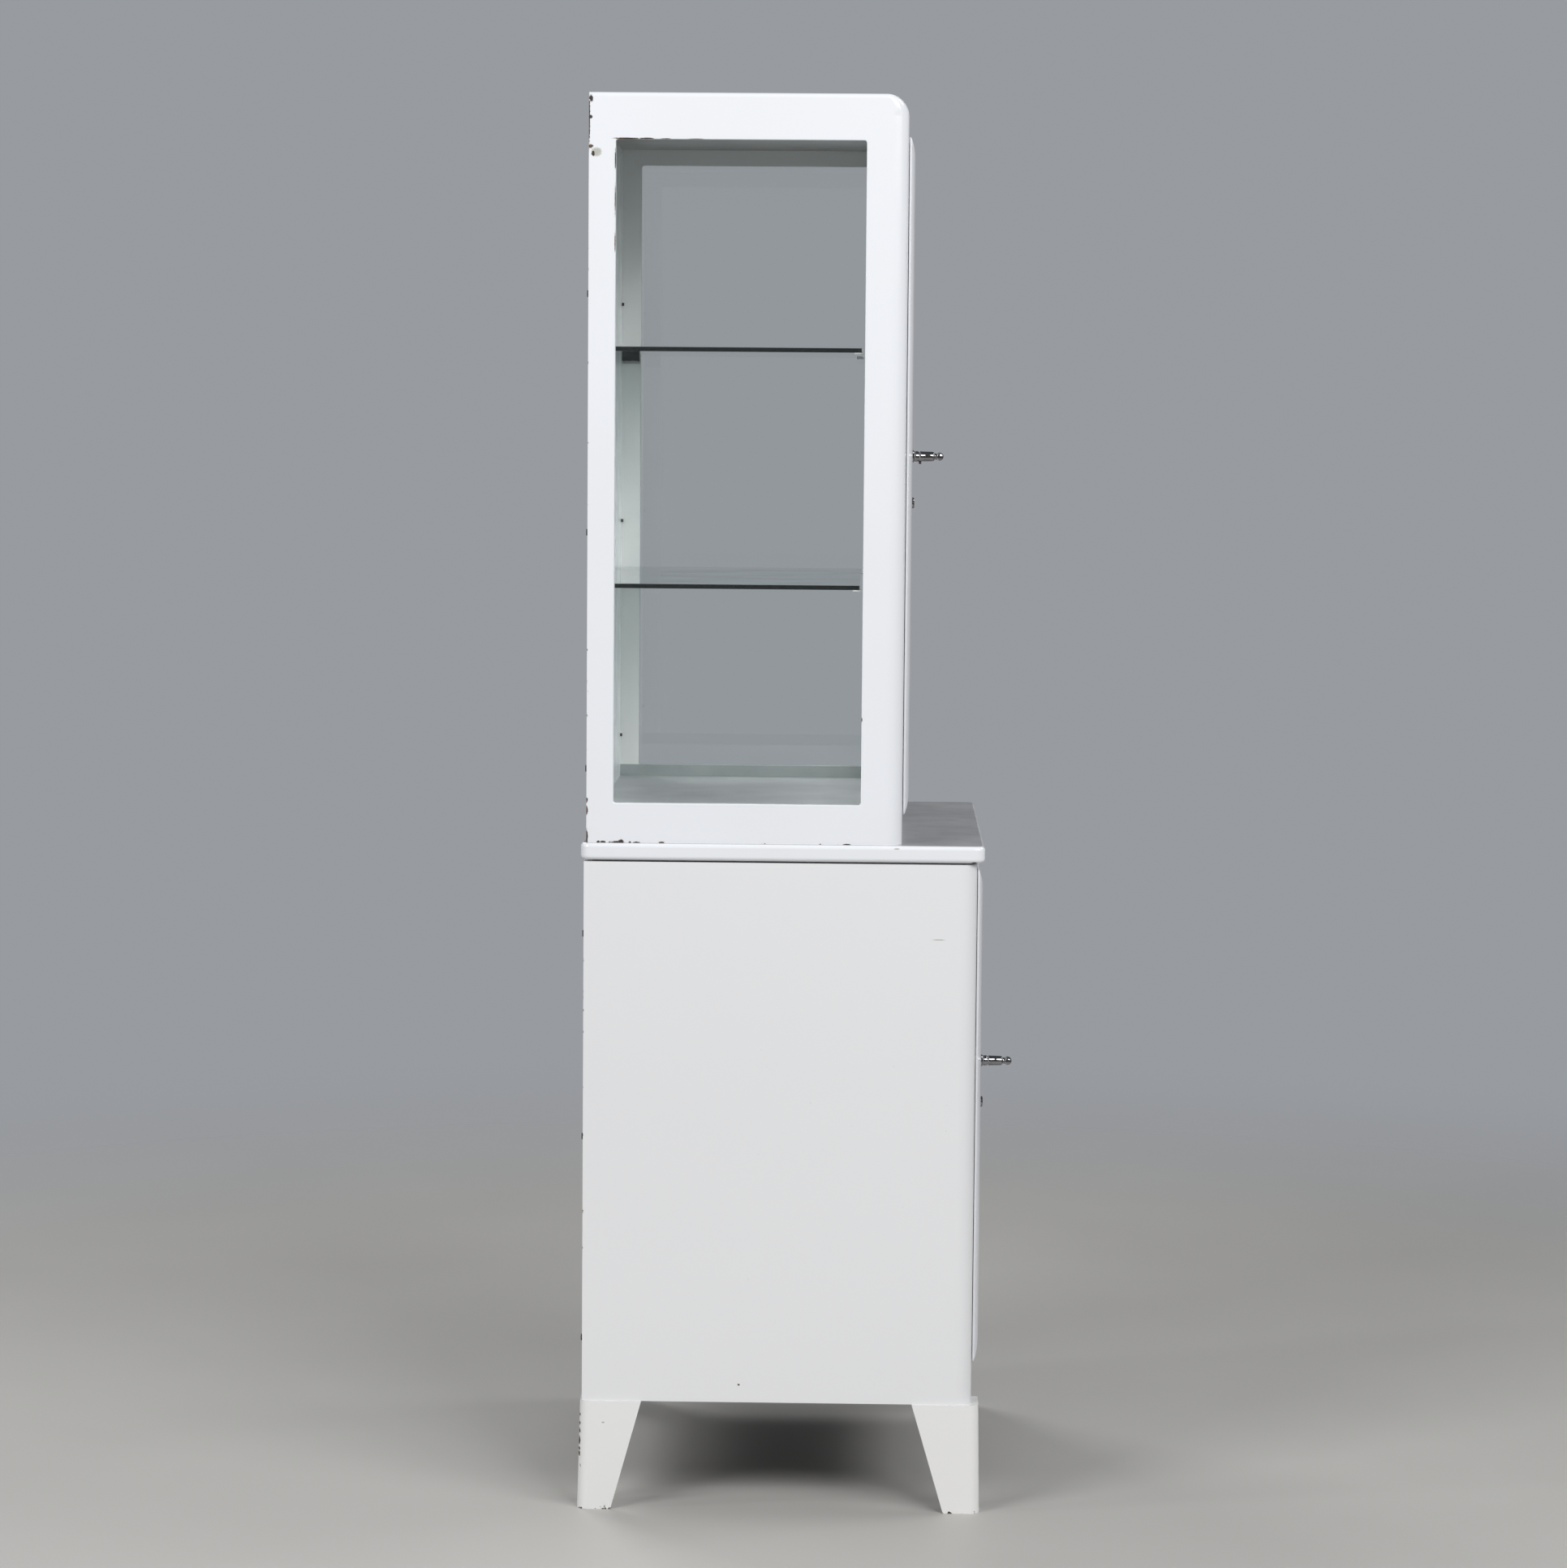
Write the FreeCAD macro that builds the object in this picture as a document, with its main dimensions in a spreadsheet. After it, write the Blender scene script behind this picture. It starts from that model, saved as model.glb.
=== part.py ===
import FreeCAD, Part
import Sketcher
import math
import os

# Medical cabinet of enamelled sheet steel: a glazed upper case stands, set back, on the worktop of
# a deeper closed base with four corner feet. The frame has +Z up, the front faces -Y, and the
# origin lies on the floor at the middle of the whole. Both doors hang on the +X side.
# All sizes are in millimetres.

SIZES = {
    # heights of the storeys
    "foot_height": 126.5,
    "base_height": 625.0,
    "worktop_gap": 2.0,
    "worktop_thickness": 19.5,
    "case_height": 847.0,
    # plan sizes
    "base_width": 542.0,
    "base_depth": 449.0,
    "case_side_setback": 3.0,
    "case_front_setback": 86.5,
    "worktop_side_overhang": 4.0,
    "worktop_rear_overhang": 4.0,
    "worktop_front_overhang": 8.3,
    "case_rear_setback": 6.5,
    # sheet and bends
    "sheet": 1.5,
    "base_corner_radius": 19.0,
    "case_corner_radius": 20.0,
    "crown_radius": 25.0,
    "roof_edge_radius": 5.0,
    "worktop_corner_radius": 11.0,
    "worktop_edge_radius": 5.0,
    "fold_radius": 1.0,
    "rear_return": 22.0,
    "top_return": 10.0,
    "back_depth": 7.0,
    # side windows of the case
    "rear_stile": 30.4,
    "front_stile": 47.5,
    "window_low_rail": 45.3,
    "window_top_rail": 52.4,
    "window_corner_radius": 3.0,
    "window_return": 8.5,
    "pane_thickness": 4.0,
    "pane_overlap": 9.0,
    "front_strip_width": 22.0,
    # linings of the case and the base
    "case_floor_height": 31.0,
    "case_ceiling_drop": 33.5,
    "base_floor_height": 52.0,
    "base_top_skirt": 16.0,
    "floor_flange": 45.0,
    "worktop_flange": 25.0,
    # how the shells are divided into their sheets
    "roof_skirt": 27.0,
    "post_depth": 17.0,
    "side_zone": 24.0,
    # doors
    "upper_door_side_margin": 23.0,
    "upper_door_top_margin": 46.5,
    "upper_door_low_margin": 32.4,
    "lower_door_side_margin": 23.0,
    "lower_door_top_margin": 8.0,
    "lower_door_low_margin": 44.4,
    "door_overlap": 12.0,
    "door_return": 15.0,
    "opening_corner_radius": 4.0,
    "door_gap": 0.8,
    "door_rim": 3.0,
    "door_shoulder_rise": 1.2,
    "door_shoulder_width": 5.0,
    "door_crown_rise": 2.8,
    "door_crown_width": 30.0,
    "door_corner_radius": 6.0,
    "liner_depth": 16.0,
    "liner_clearance": 2.5,
    "door_border": 58.0,
    # hinges
    "knuckle_radius": 4.2,
    "knuckle_length": 30.0,
    "knuckle_gap": 0.3,
    "hinge_pin_radius": 2.2,
    "hinge_running_clearance": 0.05,
    "hinge_edge_gap": 0.6,
    "hinge_face_gap": 0.7,
    "hinge_inset": 110.0,
    "hinge_lug_thickness": 2.4,
    "hinge_cap_height": 2.5,
    # handles, latches and locks
    "handle_inset": 38.0,
    "upper_handle_rise": 441.0,
    "lower_handle_rise": 391.5,
    "handle_reach": 35.4,
    "grip_length": 18.0,
    "grip_end_radius": 3.6,
    "grip_middle_radius": 4.6,
    "neck_root_radius": 6.0,
    "neck_end_radius": 5.2,
    "neck_groove": 1.4,
    "grip_stem_radius": 3.6,
    "rose_radius": 7.0,
    "rose_thickness": 1.6,
    "spindle_radius": 4.0,
    "spindle_clearance": 0.08,
    "hole_clearance": 0.5,
    "latch_thickness": 3.0,
    "latch_gap": 1.2,
    "latch_length": 38.0,
    "latch_width": 12.0,
    "latch_nut_radius": 6.5,
    "latch_nut_thickness": 3.5,
    "upper_lock_drop": 53.2,
    "lower_lock_drop": 48.0,
    "lock_radius": 4.4,
    "lock_barrel_radius": 5.5,
    "lock_ring_radius": 6.2,
    "lock_ring_thickness": 2.4,
    "lock_recess": 0.8,
    "lock_cam_length": 36.0,
    "lock_cam_width": 10.0,
    "key_slot_width": 1.6,
    "key_slot_height": 5.4,
    "key_slot_depth": 9.0,
    "strike_thickness": 1.8,
    "strike_width": 14.0,
    "strike_margin": 20.0,
    "buffer_radius": 4.0,
    "buffer_height": 0.6,
    "buffer_stem_radius": 1.9,
    "buffer_stem_length": 4.0,
    "buffer_inset": 60.0,
    # glass shelves and their brackets
    "glass_thickness": 5.0,
    "shelf_front_gap": 51.0,
    "shelf_rear_gap": 1.0,
    "shelf_side_gap": 2.0,
    "shelf_corner_radius": 4.0,
    "lower_shelf_rise": 292.0,
    "upper_shelf_rise": 560.3,
    "bracket_leg": 12.0,
    "bracket_drop": 8.0,
    "bracket_thickness": 1.6,
    "bracket_edge_gap": 1.0,
    "bracket_tongue": 8.0,
    "sleeve_wall": 1.5,
    # steel shelf of the base
    "base_shelf_rise": 332.0,
    "base_shelf_fold": 18.0,
    "base_shelf_side_gap": 1.5,
    "base_shelf_front_gap": 30.0,
    "ledge_width": 18.0,
    # feet
    "foot_sheet": 2.2,
    "front_foot_top": 77.0,
    "front_foot_bottom": 42.0,
    "rear_foot_top": 71.0,
    "rear_foot_bottom": 39.0,
    "foot_width_top": 48.0,
    "foot_width_bottom": 30.0,
    "foot_side_proud": 2.5,
    "foot_side_flare": 1.5,
    "front_foot_proud": 8.2,
    "front_foot_flare": 2.3,
    "rear_foot_proud": 2.5,
    "rear_foot_flare": 3.0,
    "foot_corner_radius": 11.0,
    "foot_sole": 10.0,
    # fasteners
    "bolt_radius": 3.0,
    "bolt_head_radius": 5.5,
    "bolt_head_height": 4.0,
    "bolt_inset": 20.0,
    "bolt_hole_clearance": 0.3,
    "screw_radius": 2.0,
    "screw_head_radius": 3.8,
    "screw_head_height": 2.4,
    "screw_tip": 2.6,
    "screw_inset": 18.0,
    "case_screw_low": 83.0,
    "case_screw_high": 225.0,
    "base_screw_low": 70.0,
    "base_screw_high": 85.0,
    # one overrun for every cut that must break through
    "overrun": 5.0,
}

# Bevels of the turned pieces, each as a share of the size beside it
grip_end_share = 0.7
grip_bevel_share = 0.4
rose_bevel_share = 0.4
ring_wall_share = 0.6
ring_bevel_share = 0.4
pin_cap_share = 0.5

# How near two places must lie to count as one
near = Part.Precision.confusion() * 1000

doc = FreeCAD.newDocument("MedicalCabinet")
sheet = doc.addObject("Spreadsheet::Sheet", "Sizes")
for row, (alias, number) in enumerate(SIZES.items(), 1):
    sheet.set(f"A{row}", alias)
    sheet.set(f"B{row}", str(number))
    sheet.setAlias(f"B{row}", alias)
doc.recompute()


class Size:
    """A size of the part: the text of its formula on the sheet, and its value now."""

    def __init__(self, text, value):
        self.text = text
        self.value = float(value)

    def __add__(self, other):
        other = as_size(other)
        return Size(f"({self.text} + {other.text})", self.value + other.value)

    def __sub__(self, other):
        other = as_size(other)
        return Size(f"({self.text} - {other.text})", self.value - other.value)

    def __mul__(self, share):
        return Size(f"({self.text} * {share})", self.value * share)

    def __truediv__(self, share):
        return Size(f"({self.text} / {share})", self.value / share)

    def __neg__(self):
        return Size(f"(0 - {self.text})", -self.value)

    def __float__(self):
        return self.value


ZERO = Size("0", 0)


def as_size(other):
    return other if isinstance(other, Size) else Size(str(other), other)


class Sheet:
    """Gives each alias of the sheet as a Size."""

    def __getattr__(self, alias):
        return Size("Sizes." + alias, sheet.get(alias))


s = Sheet()
nodes = []


def keep(node):
    """Marks an object as one sub-part of the cabinet, under its own name."""
    nodes.append(node)
    return node


def bind(thing, **formulas):
    for name, size in formulas.items():
        thing.setExpression(name, size.text)
    return thing


def place(thing, x, y, z):
    for axis, size in zip("xyz", (x, y, z)):
        thing.setExpression("Placement.Base." + axis, size.text)
    return thing


def box(name, x, y, z):
    """A block between the low and the high end of each axis."""
    block = doc.addObject("Part::Box", name)
    bind(block, Length=x[1] - x[0], Width=y[1] - y[0], Height=z[1] - z[0])
    return place(block, x[0], y[0], z[0])


TURNS = {
    "X": FreeCAD.Rotation(FreeCAD.Vector(0, 1, 0), 90),
    "Y": FreeCAD.Rotation(FreeCAD.Vector(1, 0, 0), -90),
    "Z": FreeCAD.Rotation(),
}


def rod(name, axis, start, length, radius):
    """A cylinder that runs from its start along one axis."""
    bar = doc.addObject("Part::Cylinder", name)
    bind(bar, Radius=radius, Height=length)
    bar.Placement.Rotation = TURNS[axis]
    return place(bar, *start)


def cut(name, base, *tools):
    result = doc.addObject("Part::Cut", name)
    result.Base = base
    result.Tool = tools[0] if len(tools) == 1 else fuse(name + "_tools", *tools)
    return result


def fuse(name, *shapes):
    result = doc.addObject("Part::MultiFuse", name)
    result.Shapes = list(shapes)
    return result


def common(name, *shapes):
    result = doc.addObject("Part::MultiCommon", name)
    result.Shapes = list(shapes)
    return result


def group(name, *solids):
    result = doc.addObject("Part::Compound", name)
    result.Links = list(solids)
    return result


def mirror(name, source):
    """The same piece on the other side of the cabinet."""
    result = doc.addObject("Part::Mirroring", name)
    result.Source = source
    result.Normal = FreeCAD.Vector(1, 0, 0)
    return result


def ends(edge):
    return edge.Vertexes[0].Point, edge.Vertexes[-1].Point


def along(edge, axis):
    """True for a straight edge that runs along the named axis."""
    first, last = ends(edge)
    span = last - first
    return abs(abs(getattr(span, axis)) - edge.Length) < near


def lies(edge, axis, place_there):
    """True where the whole edge lies at one place of an axis."""
    box_there = edge.BoundBox
    low = getattr(box_there, axis.upper() + "Min")
    high = getattr(box_there, axis.upper() + "Max")
    return abs(low - float(place_there)) < near and abs(high - float(place_there)) < near


def fillet(name, base, *rules):
    """Rounds each edge that a rule picks; a rule is a test and one radius, or two for its ends."""
    doc.recompute()
    result = doc.addObject("Part::Fillet", name)
    result.Base = base
    picked = []
    for index, edge in enumerate(base.Shape.Edges, 1):
        for test, *radii in rules:
            if test(edge):
                picked.append((index, float(radii[0]), float(radii[-1])))
                break
    result.Edges = picked
    return result


def origin_plane(body, role):
    return next(plane for plane in body.Origin.OriginFeatures if plane.Role == role)


def drawn(body, role, points):
    """A sketch of one closed outline, each corner held by its two bound distances from the origin."""
    sketch = body.newObject("Sketcher::SketchObject", body.Name + "_outline")
    sketch.AttachmentSupport = [(origin_plane(body, role), "")]
    sketch.MapMode = "FlatFace"
    count = len(points)
    vectors = [FreeCAD.Vector(float(u), float(v), 0) for u, v in points]
    for index in range(count):
        line = Part.LineSegment(vectors[index], vectors[(index + 1) % count])
        sketch.addGeometry(line, False)
    for index in range(count):
        joint = Sketcher.Constraint("Coincident", index, 2, (index + 1) % count, 1)
        sketch.addConstraint(joint)
    for index, (u, v) in enumerate(points):
        hold(sketch, "DistanceX", -2, index, u)
        hold(sketch, "DistanceY", -1, index, v)
    return sketch


def bound(sketch, constraint, size):
    number = sketch.addConstraint(constraint)
    sketch.setExpression(f"Constraints[{number}]", size.text)


def hold(sketch, kind, axis_line, index, size):
    """Holds one corner at a bound distance, or on the axis line where the distance is nothing."""
    if float(size) == 0:
        sketch.addConstraint(Sketcher.Constraint("PointOnObject", index, 1, axis_line))
    else:
        bound(sketch, Sketcher.Constraint(kind, -1, 1, index, 1, float(size)), size)


def turned(name, profile, rotation):
    """A piece turned about its own Y axis from (radius, height) corners, then set over."""
    body = doc.addObject("PartDesign::Body", name)
    sketch = drawn(body, "XY_Plane", profile)
    turn = body.newObject("PartDesign::Revolution", name + "_turn")
    turn.Profile = sketch
    turn.ReferenceAxis = (sketch, ["V_Axis"])
    turn.Angle = 360
    body.Tip = turn
    body.Placement.Rotation = rotation
    return body


OUTWARD = FreeCAD.Rotation(FreeCAD.Vector(0, 0, 1), 180)
UPRIGHT = FreeCAD.Rotation(FreeCAD.Vector(1, 0, 0), 90)

# Main planes of the cabinet
base_low = s.foot_height
base_high = base_low + s.base_height
worktop_low = base_high + s.worktop_gap
worktop_high = worktop_low + s.worktop_thickness
case_low = worktop_high
case_high = case_low + s.case_height
base_half = s.base_width / 2
case_half = base_half - s.case_side_setback
door_rise = s.door_rim + s.door_shoulder_rise + s.door_crown_rise
front_reach = s.door_gap + door_rise + s.handle_reach
rear_reach = s.rear_foot_proud + s.rear_foot_flare
base_rear = (s.base_depth + front_reach - rear_reach) / 2
base_front = base_rear - s.base_depth
case_rear = base_rear + s.worktop_rear_overhang - s.case_rear_setback
case_front = base_front + s.case_front_setback
upper_door_half = case_half - s.upper_door_side_margin
lower_door_half = base_half - s.lower_door_side_margin
upper_handle_z = case_low + s.upper_handle_rise
lower_handle_z = base_low + s.lower_handle_rise
lower_shelf_z = case_low + s.lower_shelf_rise
upper_shelf_z = case_low + s.upper_shelf_rise
base_shelf_z = base_low + s.base_shelf_rise
over = s.overrun


def both(half):
    """The span across the cabinet's width between two like sides."""
    return (-half, half)


# Upper case: one bent and welded shell, open below, with its windows, door opening and rear opening

def crowned_block(name, inset, low):
    """The outer or inner form of the upper case, with its crown and all its bends."""
    half = case_half - inset
    front = case_front + inset
    rear = case_rear - inset
    high = case_high - inset
    block = box(name + "_block", both(half), (front, rear), (low, high))

    def on_crown(edge):
        return lies(edge, "y", front) and lies(edge, "z", high)

    crowned = fillet(name + "_crown", block, (on_crown, s.crown_radius - inset))
    corner = s.case_corner_radius - inset
    roof = s.roof_edge_radius - inset

    def on_side(edge):
        return lies(edge, "x", half) or lies(edge, "x", -half)

    def starts_low(edge):
        first = edge.valueAt(edge.FirstParameter)
        last = edge.valueAt(edge.LastParameter)
        return first.z < last.z

    def is_post(edge):
        return on_side(edge) and lies(edge, "y", front)

    def is_roof(edge):
        return on_side(edge) and lies(edge, "z", high)

    def is_arc(edge):
        return on_side(edge) and not along(edge, "x") and not along(edge, "y") and not along(edge, "z")

    def rising(edge):
        return is_arc(edge) and starts_low(edge)

    return fillet(
        name,
        crowned,
        (is_post, corner),
        (is_roof, roof),
        (rising, corner, roof),
        (is_arc, roof, corner),
    )


def rounded_block(name, x, y, z, axis, radius):
    """A block whose four edges along one axis are rounded."""
    block = box(name + "_block", x, y, z)
    return fillet(name, block, (lambda edge: along(edge, axis), radius))


def fold(name, x, y, z, axis, radius):
    """The sheet folded in round an opening: a rounded tube of one sheet's wall."""
    spans = {"x": x, "y": y, "z": z}
    outer = {key: (ends[0] - s.sheet, ends[1] + s.sheet) for key, ends in spans.items()}
    outer[axis] = spans[axis]
    inner = dict(spans)
    inner[axis] = (spans[axis][0] - over, spans[axis][1] + over)
    tube = rounded_block(name + "_tube", outer["x"], outer["y"], outer["z"], axis, radius + s.sheet)
    bore = rounded_block(name + "_bore", inner["x"], inner["y"], inner["z"], axis, radius)
    return tube, bore


case_form = crowned_block("case_form", ZERO, case_low)
case_hollow = crowned_block("case_hollow", s.sheet, case_low - over)

window_y = (case_front + s.front_stile, case_rear - s.rear_stile)
window_z = (case_low + s.window_low_rail, case_high - s.window_top_rail)
fold_x = (-(case_half - s.sheet), -(case_half - s.window_return))
left_tube, left_bore = fold("left_window", fold_x, window_y, window_z, "x", s.window_corner_radius)
right_tube = mirror("right_window_tube", left_tube)
right_bore = mirror("right_window_bore", left_bore)

upper_opening_half = upper_door_half - s.door_overlap
upper_opening_z = (
    case_low + s.upper_door_low_margin + s.door_overlap,
    case_high - s.upper_door_top_margin - s.door_overlap,
)
upper_return_y = (case_front + s.sheet, case_front + s.door_return)
upper_tube, upper_bore = fold(
    "upper_opening", both(upper_opening_half), upper_return_y, upper_opening_z, "y", s.opening_corner_radius
)
case_rear_opening = box(
    "case_rear_opening",
    both(case_half - s.rear_return),
    (case_rear - s.sheet - over, case_rear + over),
    (case_low - over, case_high - s.rear_return),
)
case_skin = cut("case_skin", case_form, case_hollow)
case_folded = fuse("case_folded", case_skin, left_tube, right_tube, upper_tube)
case_shell = cut("case_shell", case_folded, left_bore, right_bore, upper_bore, case_rear_opening)

case_split_z = case_high - s.roof_skirt
case_split_y = case_front + s.post_depth
case_out_x = case_half + over
case_mid_z = (upper_opening_z[0] + upper_opening_z[1]) / 2


def screw_hole(name, x, y, z):
    """A clearance hole for a back screw, from the rear face forward."""
    depth = s.back_depth + over * 2
    return rod(name, "Y", (x, y - s.back_depth - over, z), depth, s.screw_radius + s.bolt_hole_clearance)


def screw_heights(low, height, first, last):
    """Three places up a back: near its bottom, near its top and midway between."""
    lowest = low + first
    highest = low + height - last
    return [lowest, (lowest + highest) / 2, highest]


case_screw_x = case_half - s.screw_inset
case_screw_z = screw_heights(case_low, s.case_height, s.case_screw_low, s.case_screw_high)
base_screw_x = base_half - s.screw_inset
base_screw_z = screw_heights(base_low, s.base_height, s.base_screw_low, s.base_screw_high)
case_holes = [
    screw_hole(f"case_screw_hole_{side}_{step}", x, case_rear, z)
    for side, x in (("left", -case_screw_x), ("right", case_screw_x))
    for step, z in enumerate(case_screw_z)
]
base_holes = [
    screw_hole(f"base_screw_hole_{side}_{step}", x, base_rear, z)
    for side, x in (("left", -base_screw_x), ("right", base_screw_x))
    for step, z in enumerate(base_screw_z)
]

left_side_zone = box(
    "left_side_zone",
    (-case_out_x, -(case_half - s.side_zone)),
    (case_split_y, case_rear + over),
    (case_low - over, case_split_z),
)
left_side_raw = cut("left_side_raw", common("left_side_cut", case_shell, left_side_zone), *case_holes[:3])


def on_window_mouth(edge):
    middle = edge.CenterOfMass
    inside_y = float(window_y[0]) - near < middle.y < float(window_y[1]) + near
    inside_z = float(window_z[0]) - near < middle.z < float(window_z[1]) + near
    return lies(edge, "x", -case_half) and inside_y and inside_z


left_side = keep(fillet("vitrine_left_side", left_side_raw, (on_window_mouth, s.fold_radius)))
keep(mirror("vitrine_right_side", left_side))

buffer_upper_z = [upper_opening_z[0] + s.buffer_inset, upper_opening_z[1] - s.buffer_inset]
lower_opening_half = lower_door_half - s.door_overlap
lower_opening_z = (
    base_low + s.lower_door_low_margin + s.door_overlap,
    base_high - s.lower_door_top_margin - s.door_overlap,
)
buffer_lower_z = [lower_opening_z[0] + s.buffer_inset, lower_opening_z[1] - s.buffer_inset]
buffer_offset = s.sheet + s.buffer_radius


def buffer_hole(name, x, y, z):
    radius = s.buffer_stem_radius + s.hole_clearance / 4
    return rod(name, "Y", (x, y - over, z), over * 2, radius)


upper_buffer_x = -(upper_opening_half + buffer_offset)
lower_buffer_x = -(lower_opening_half + buffer_offset)
upper_buffer_holes = [
    buffer_hole(f"upper_buffer_hole_{step}", upper_buffer_x, case_front, z)
    for step, z in enumerate(buffer_upper_z)
]
lower_buffer_holes = [
    buffer_hole(f"lower_buffer_hole_{step}", lower_buffer_x, base_front, z)
    for step, z in enumerate(buffer_lower_z)
]
left_post_zone = box(
    "left_post_zone",
    (-case_out_x, -upper_opening_half),
    (case_front - over, case_split_y),
    (case_low - over, case_split_z),
)
right_post_zone = box(
    "right_post_zone",
    (upper_opening_half, case_out_x),
    (case_front - over, case_split_y),
    (case_low - over, case_split_z),
)
keep(cut("vitrine_left_post", common("left_post_raw", case_shell, left_post_zone), *upper_buffer_holes))
keep(common("vitrine_right_post", case_shell, right_post_zone))
roof_zone = box(
    "roof_zone", both(case_out_x), (case_front - over, case_rear + over), (case_split_z, case_high + over)
)
keep(common("vitrine_roof", case_shell, roof_zone))
top_rail_zone = box(
    "top_rail_zone",
    both(upper_opening_half),
    (case_front - over, case_split_y),
    (case_mid_z, case_split_z),
)
low_rail_zone = box(
    "low_rail_zone",
    both(upper_opening_half),
    (case_front - over, case_split_y),
    (case_low - over, case_mid_z),
)
keep(common("vitrine_top_rail", case_shell, top_rail_zone))
keep(common("vitrine_low_rail", case_shell, low_rail_zone))


def tray(name, x, y, z, open_down, flange=None):
    """A sheet folded down (or up) on four sides, with an inward flange where one is given."""
    block = box(name + "_block", x, y, z)
    low = z[0] - over if flange is None and open_down else z[0] + s.sheet
    high = z[1] - s.sheet if open_down else z[1] + over
    hollow = box(
        name + "_hollow",
        (x[0] + s.sheet, x[1] - s.sheet),
        (y[0] + s.sheet, y[1] - s.sheet),
        (low, high),
    )
    tools = [hollow]
    if flange is not None:
        mouth = box(
            name + "_mouth",
            (x[0] + flange, x[1] - flange),
            (y[0] + flange, y[1] - flange),
            (z[0] - over, z[0] + s.sheet + over),
        )
        tools.append(mouth)
    return cut(name, block, *tools)


# Linings of the upper case
case_inner_y = (case_front + s.sheet, case_rear - s.back_depth)
case_bolt_x = case_half - s.sheet - s.bolt_inset
case_bolt_y = (case_inner_y[0] + s.bolt_inset, case_inner_y[1] - s.bolt_inset)
case_bolt_places = [(x, y) for x in (-case_bolt_x, case_bolt_x) for y in case_bolt_y]
bolt_hole_radius = s.bolt_radius + s.bolt_hole_clearance


def bolt_holes(name, places, low, high):
    return [
        rod(f"{name}_{step}", "Z", (x, y, low), high - low, bolt_hole_radius)
        for step, (x, y) in enumerate(places)
    ]


floor_pan = tray(
    "case_floor_pan",
    both(case_half - s.sheet),
    case_inner_y,
    (case_low, case_low + s.case_floor_height),
    True,
    s.floor_flange,
)
floor_fitted = common("case_floor_fitted", floor_pan, case_hollow)
keep(cut(
    "vitrine_floor",
    floor_fitted,
    *bolt_holes("case_floor_hole", case_bolt_places, case_low - over, case_low + s.sheet + over),
))
ceiling_pan = tray(
    "case_ceiling_pan",
    both(case_half - s.sheet),
    case_inner_y,
    (case_high - s.case_ceiling_drop, case_high - s.sheet),
    False,
)
keep(common("vitrine_ceiling", ceiling_pan, case_hollow))


def back_pan(name, half, rear, z, holes):
    """The back panel: a sheet set forward, with folded rims that meet the rear returns."""
    block = box(name + "_block", both(half - s.sheet), (rear - s.back_depth, rear - s.sheet), z)
    hollow = box(
        name + "_hollow",
        both(half - s.sheet - s.sheet),
        (rear - s.back_depth + s.sheet, rear + over),
        (z[0] + s.sheet, z[1] - s.sheet),
    )
    return cut(name, block, hollow, *holes)


case_back = back_pan("case_back_pan", case_half, case_rear, (case_low, case_high - s.sheet), case_holes)
keep(common("vitrine_back", case_back, case_hollow))

# Side panes, their inner strips, shelves and brackets
pane_out = case_half - s.window_return
pane_in = pane_out - s.pane_thickness
strip_in = pane_in - s.sheet
pane = box(
    "left_side_glass",
    (-pane_out, -pane_in),
    (window_y[0] - s.pane_overlap, window_y[1] + s.pane_overlap),
    (window_z[0] - s.pane_overlap, window_z[1] + s.pane_overlap),
)
keep(pane)
keep(mirror("right_side_glass", pane))

strip_z = (case_low + s.case_floor_height, case_high - s.case_ceiling_drop)
strip_y = (window_y[0] - s.front_strip_width, case_rear - s.back_depth)


def strip(name, y, z, leg_y, leg_z):
    """A folded strip that holds the pane: a leaf on the glass and a leg back to the side sheet."""
    leaf = box(name + "_leaf", (-pane_in, -strip_in), y, z)
    leg = box(name + "_leg", (-(case_half - s.sheet), -pane_in), leg_y, leg_z)
    return fuse(name, leaf, leg)


left_strips = group(
    "left_glass_strips",
    strip("strip_rear", (window_y[1], strip_y[1]), strip_z, (strip_y[1] - s.sheet, strip_y[1]), strip_z),
    strip("strip_front", (strip_y[0], window_y[0]), strip_z, (strip_y[0], strip_y[0] + s.sheet), strip_z),
    strip(
        "strip_low", window_y, (strip_z[0], window_z[0]), window_y, (strip_z[0], strip_z[0] + s.sheet)
    ),
    strip(
        "strip_top", window_y, (window_z[1], strip_z[1]), window_y, (strip_z[1] - s.sheet, strip_z[1])
    ),
)
keep(left_strips)
keep(mirror("right_glass_strips", left_strips))

shelf_y_rear = case_rear - s.back_depth - s.shelf_rear_gap
shelf_y = (case_front + s.shelf_front_gap, shelf_y_rear)


def glass_shelf(name, height):
    return rounded_block(
        name,
        both(strip_in - s.shelf_side_gap),
        shelf_y,
        (height - s.glass_thickness / 2, height + s.glass_thickness / 2),
        "z",
        s.shelf_corner_radius,
    )


keep(glass_shelf("lower_glass_shelf", lower_shelf_z))
keep(glass_shelf("upper_glass_shelf", upper_shelf_z))

# The uprights of the brackets stand behind the stiles, where the windows don't show them
bracket_rear_y = (window_y[1] + s.bracket_edge_gap, shelf_y[1])
bracket_front_y = (strip_y[0], window_y[0] - s.bracket_edge_gap)
tongue_y = (strip_y[0], shelf_y[0] + s.bracket_tongue)
bracket_inner = strip_in - s.bracket_leg


def bracket(name, upright_y, leg_y, top):
    """A small angle on the strip, with its leg under the shelf."""
    upright_x = (-strip_in, -(strip_in - s.bracket_thickness))
    upright = box(name + "_upright", upright_x, upright_y, (top - s.bracket_drop, top))
    leg = box(name + "_leg", (-strip_in, -bracket_inner), leg_y, (top - s.bracket_thickness, top))
    return fuse(name, upright, leg)


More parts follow.
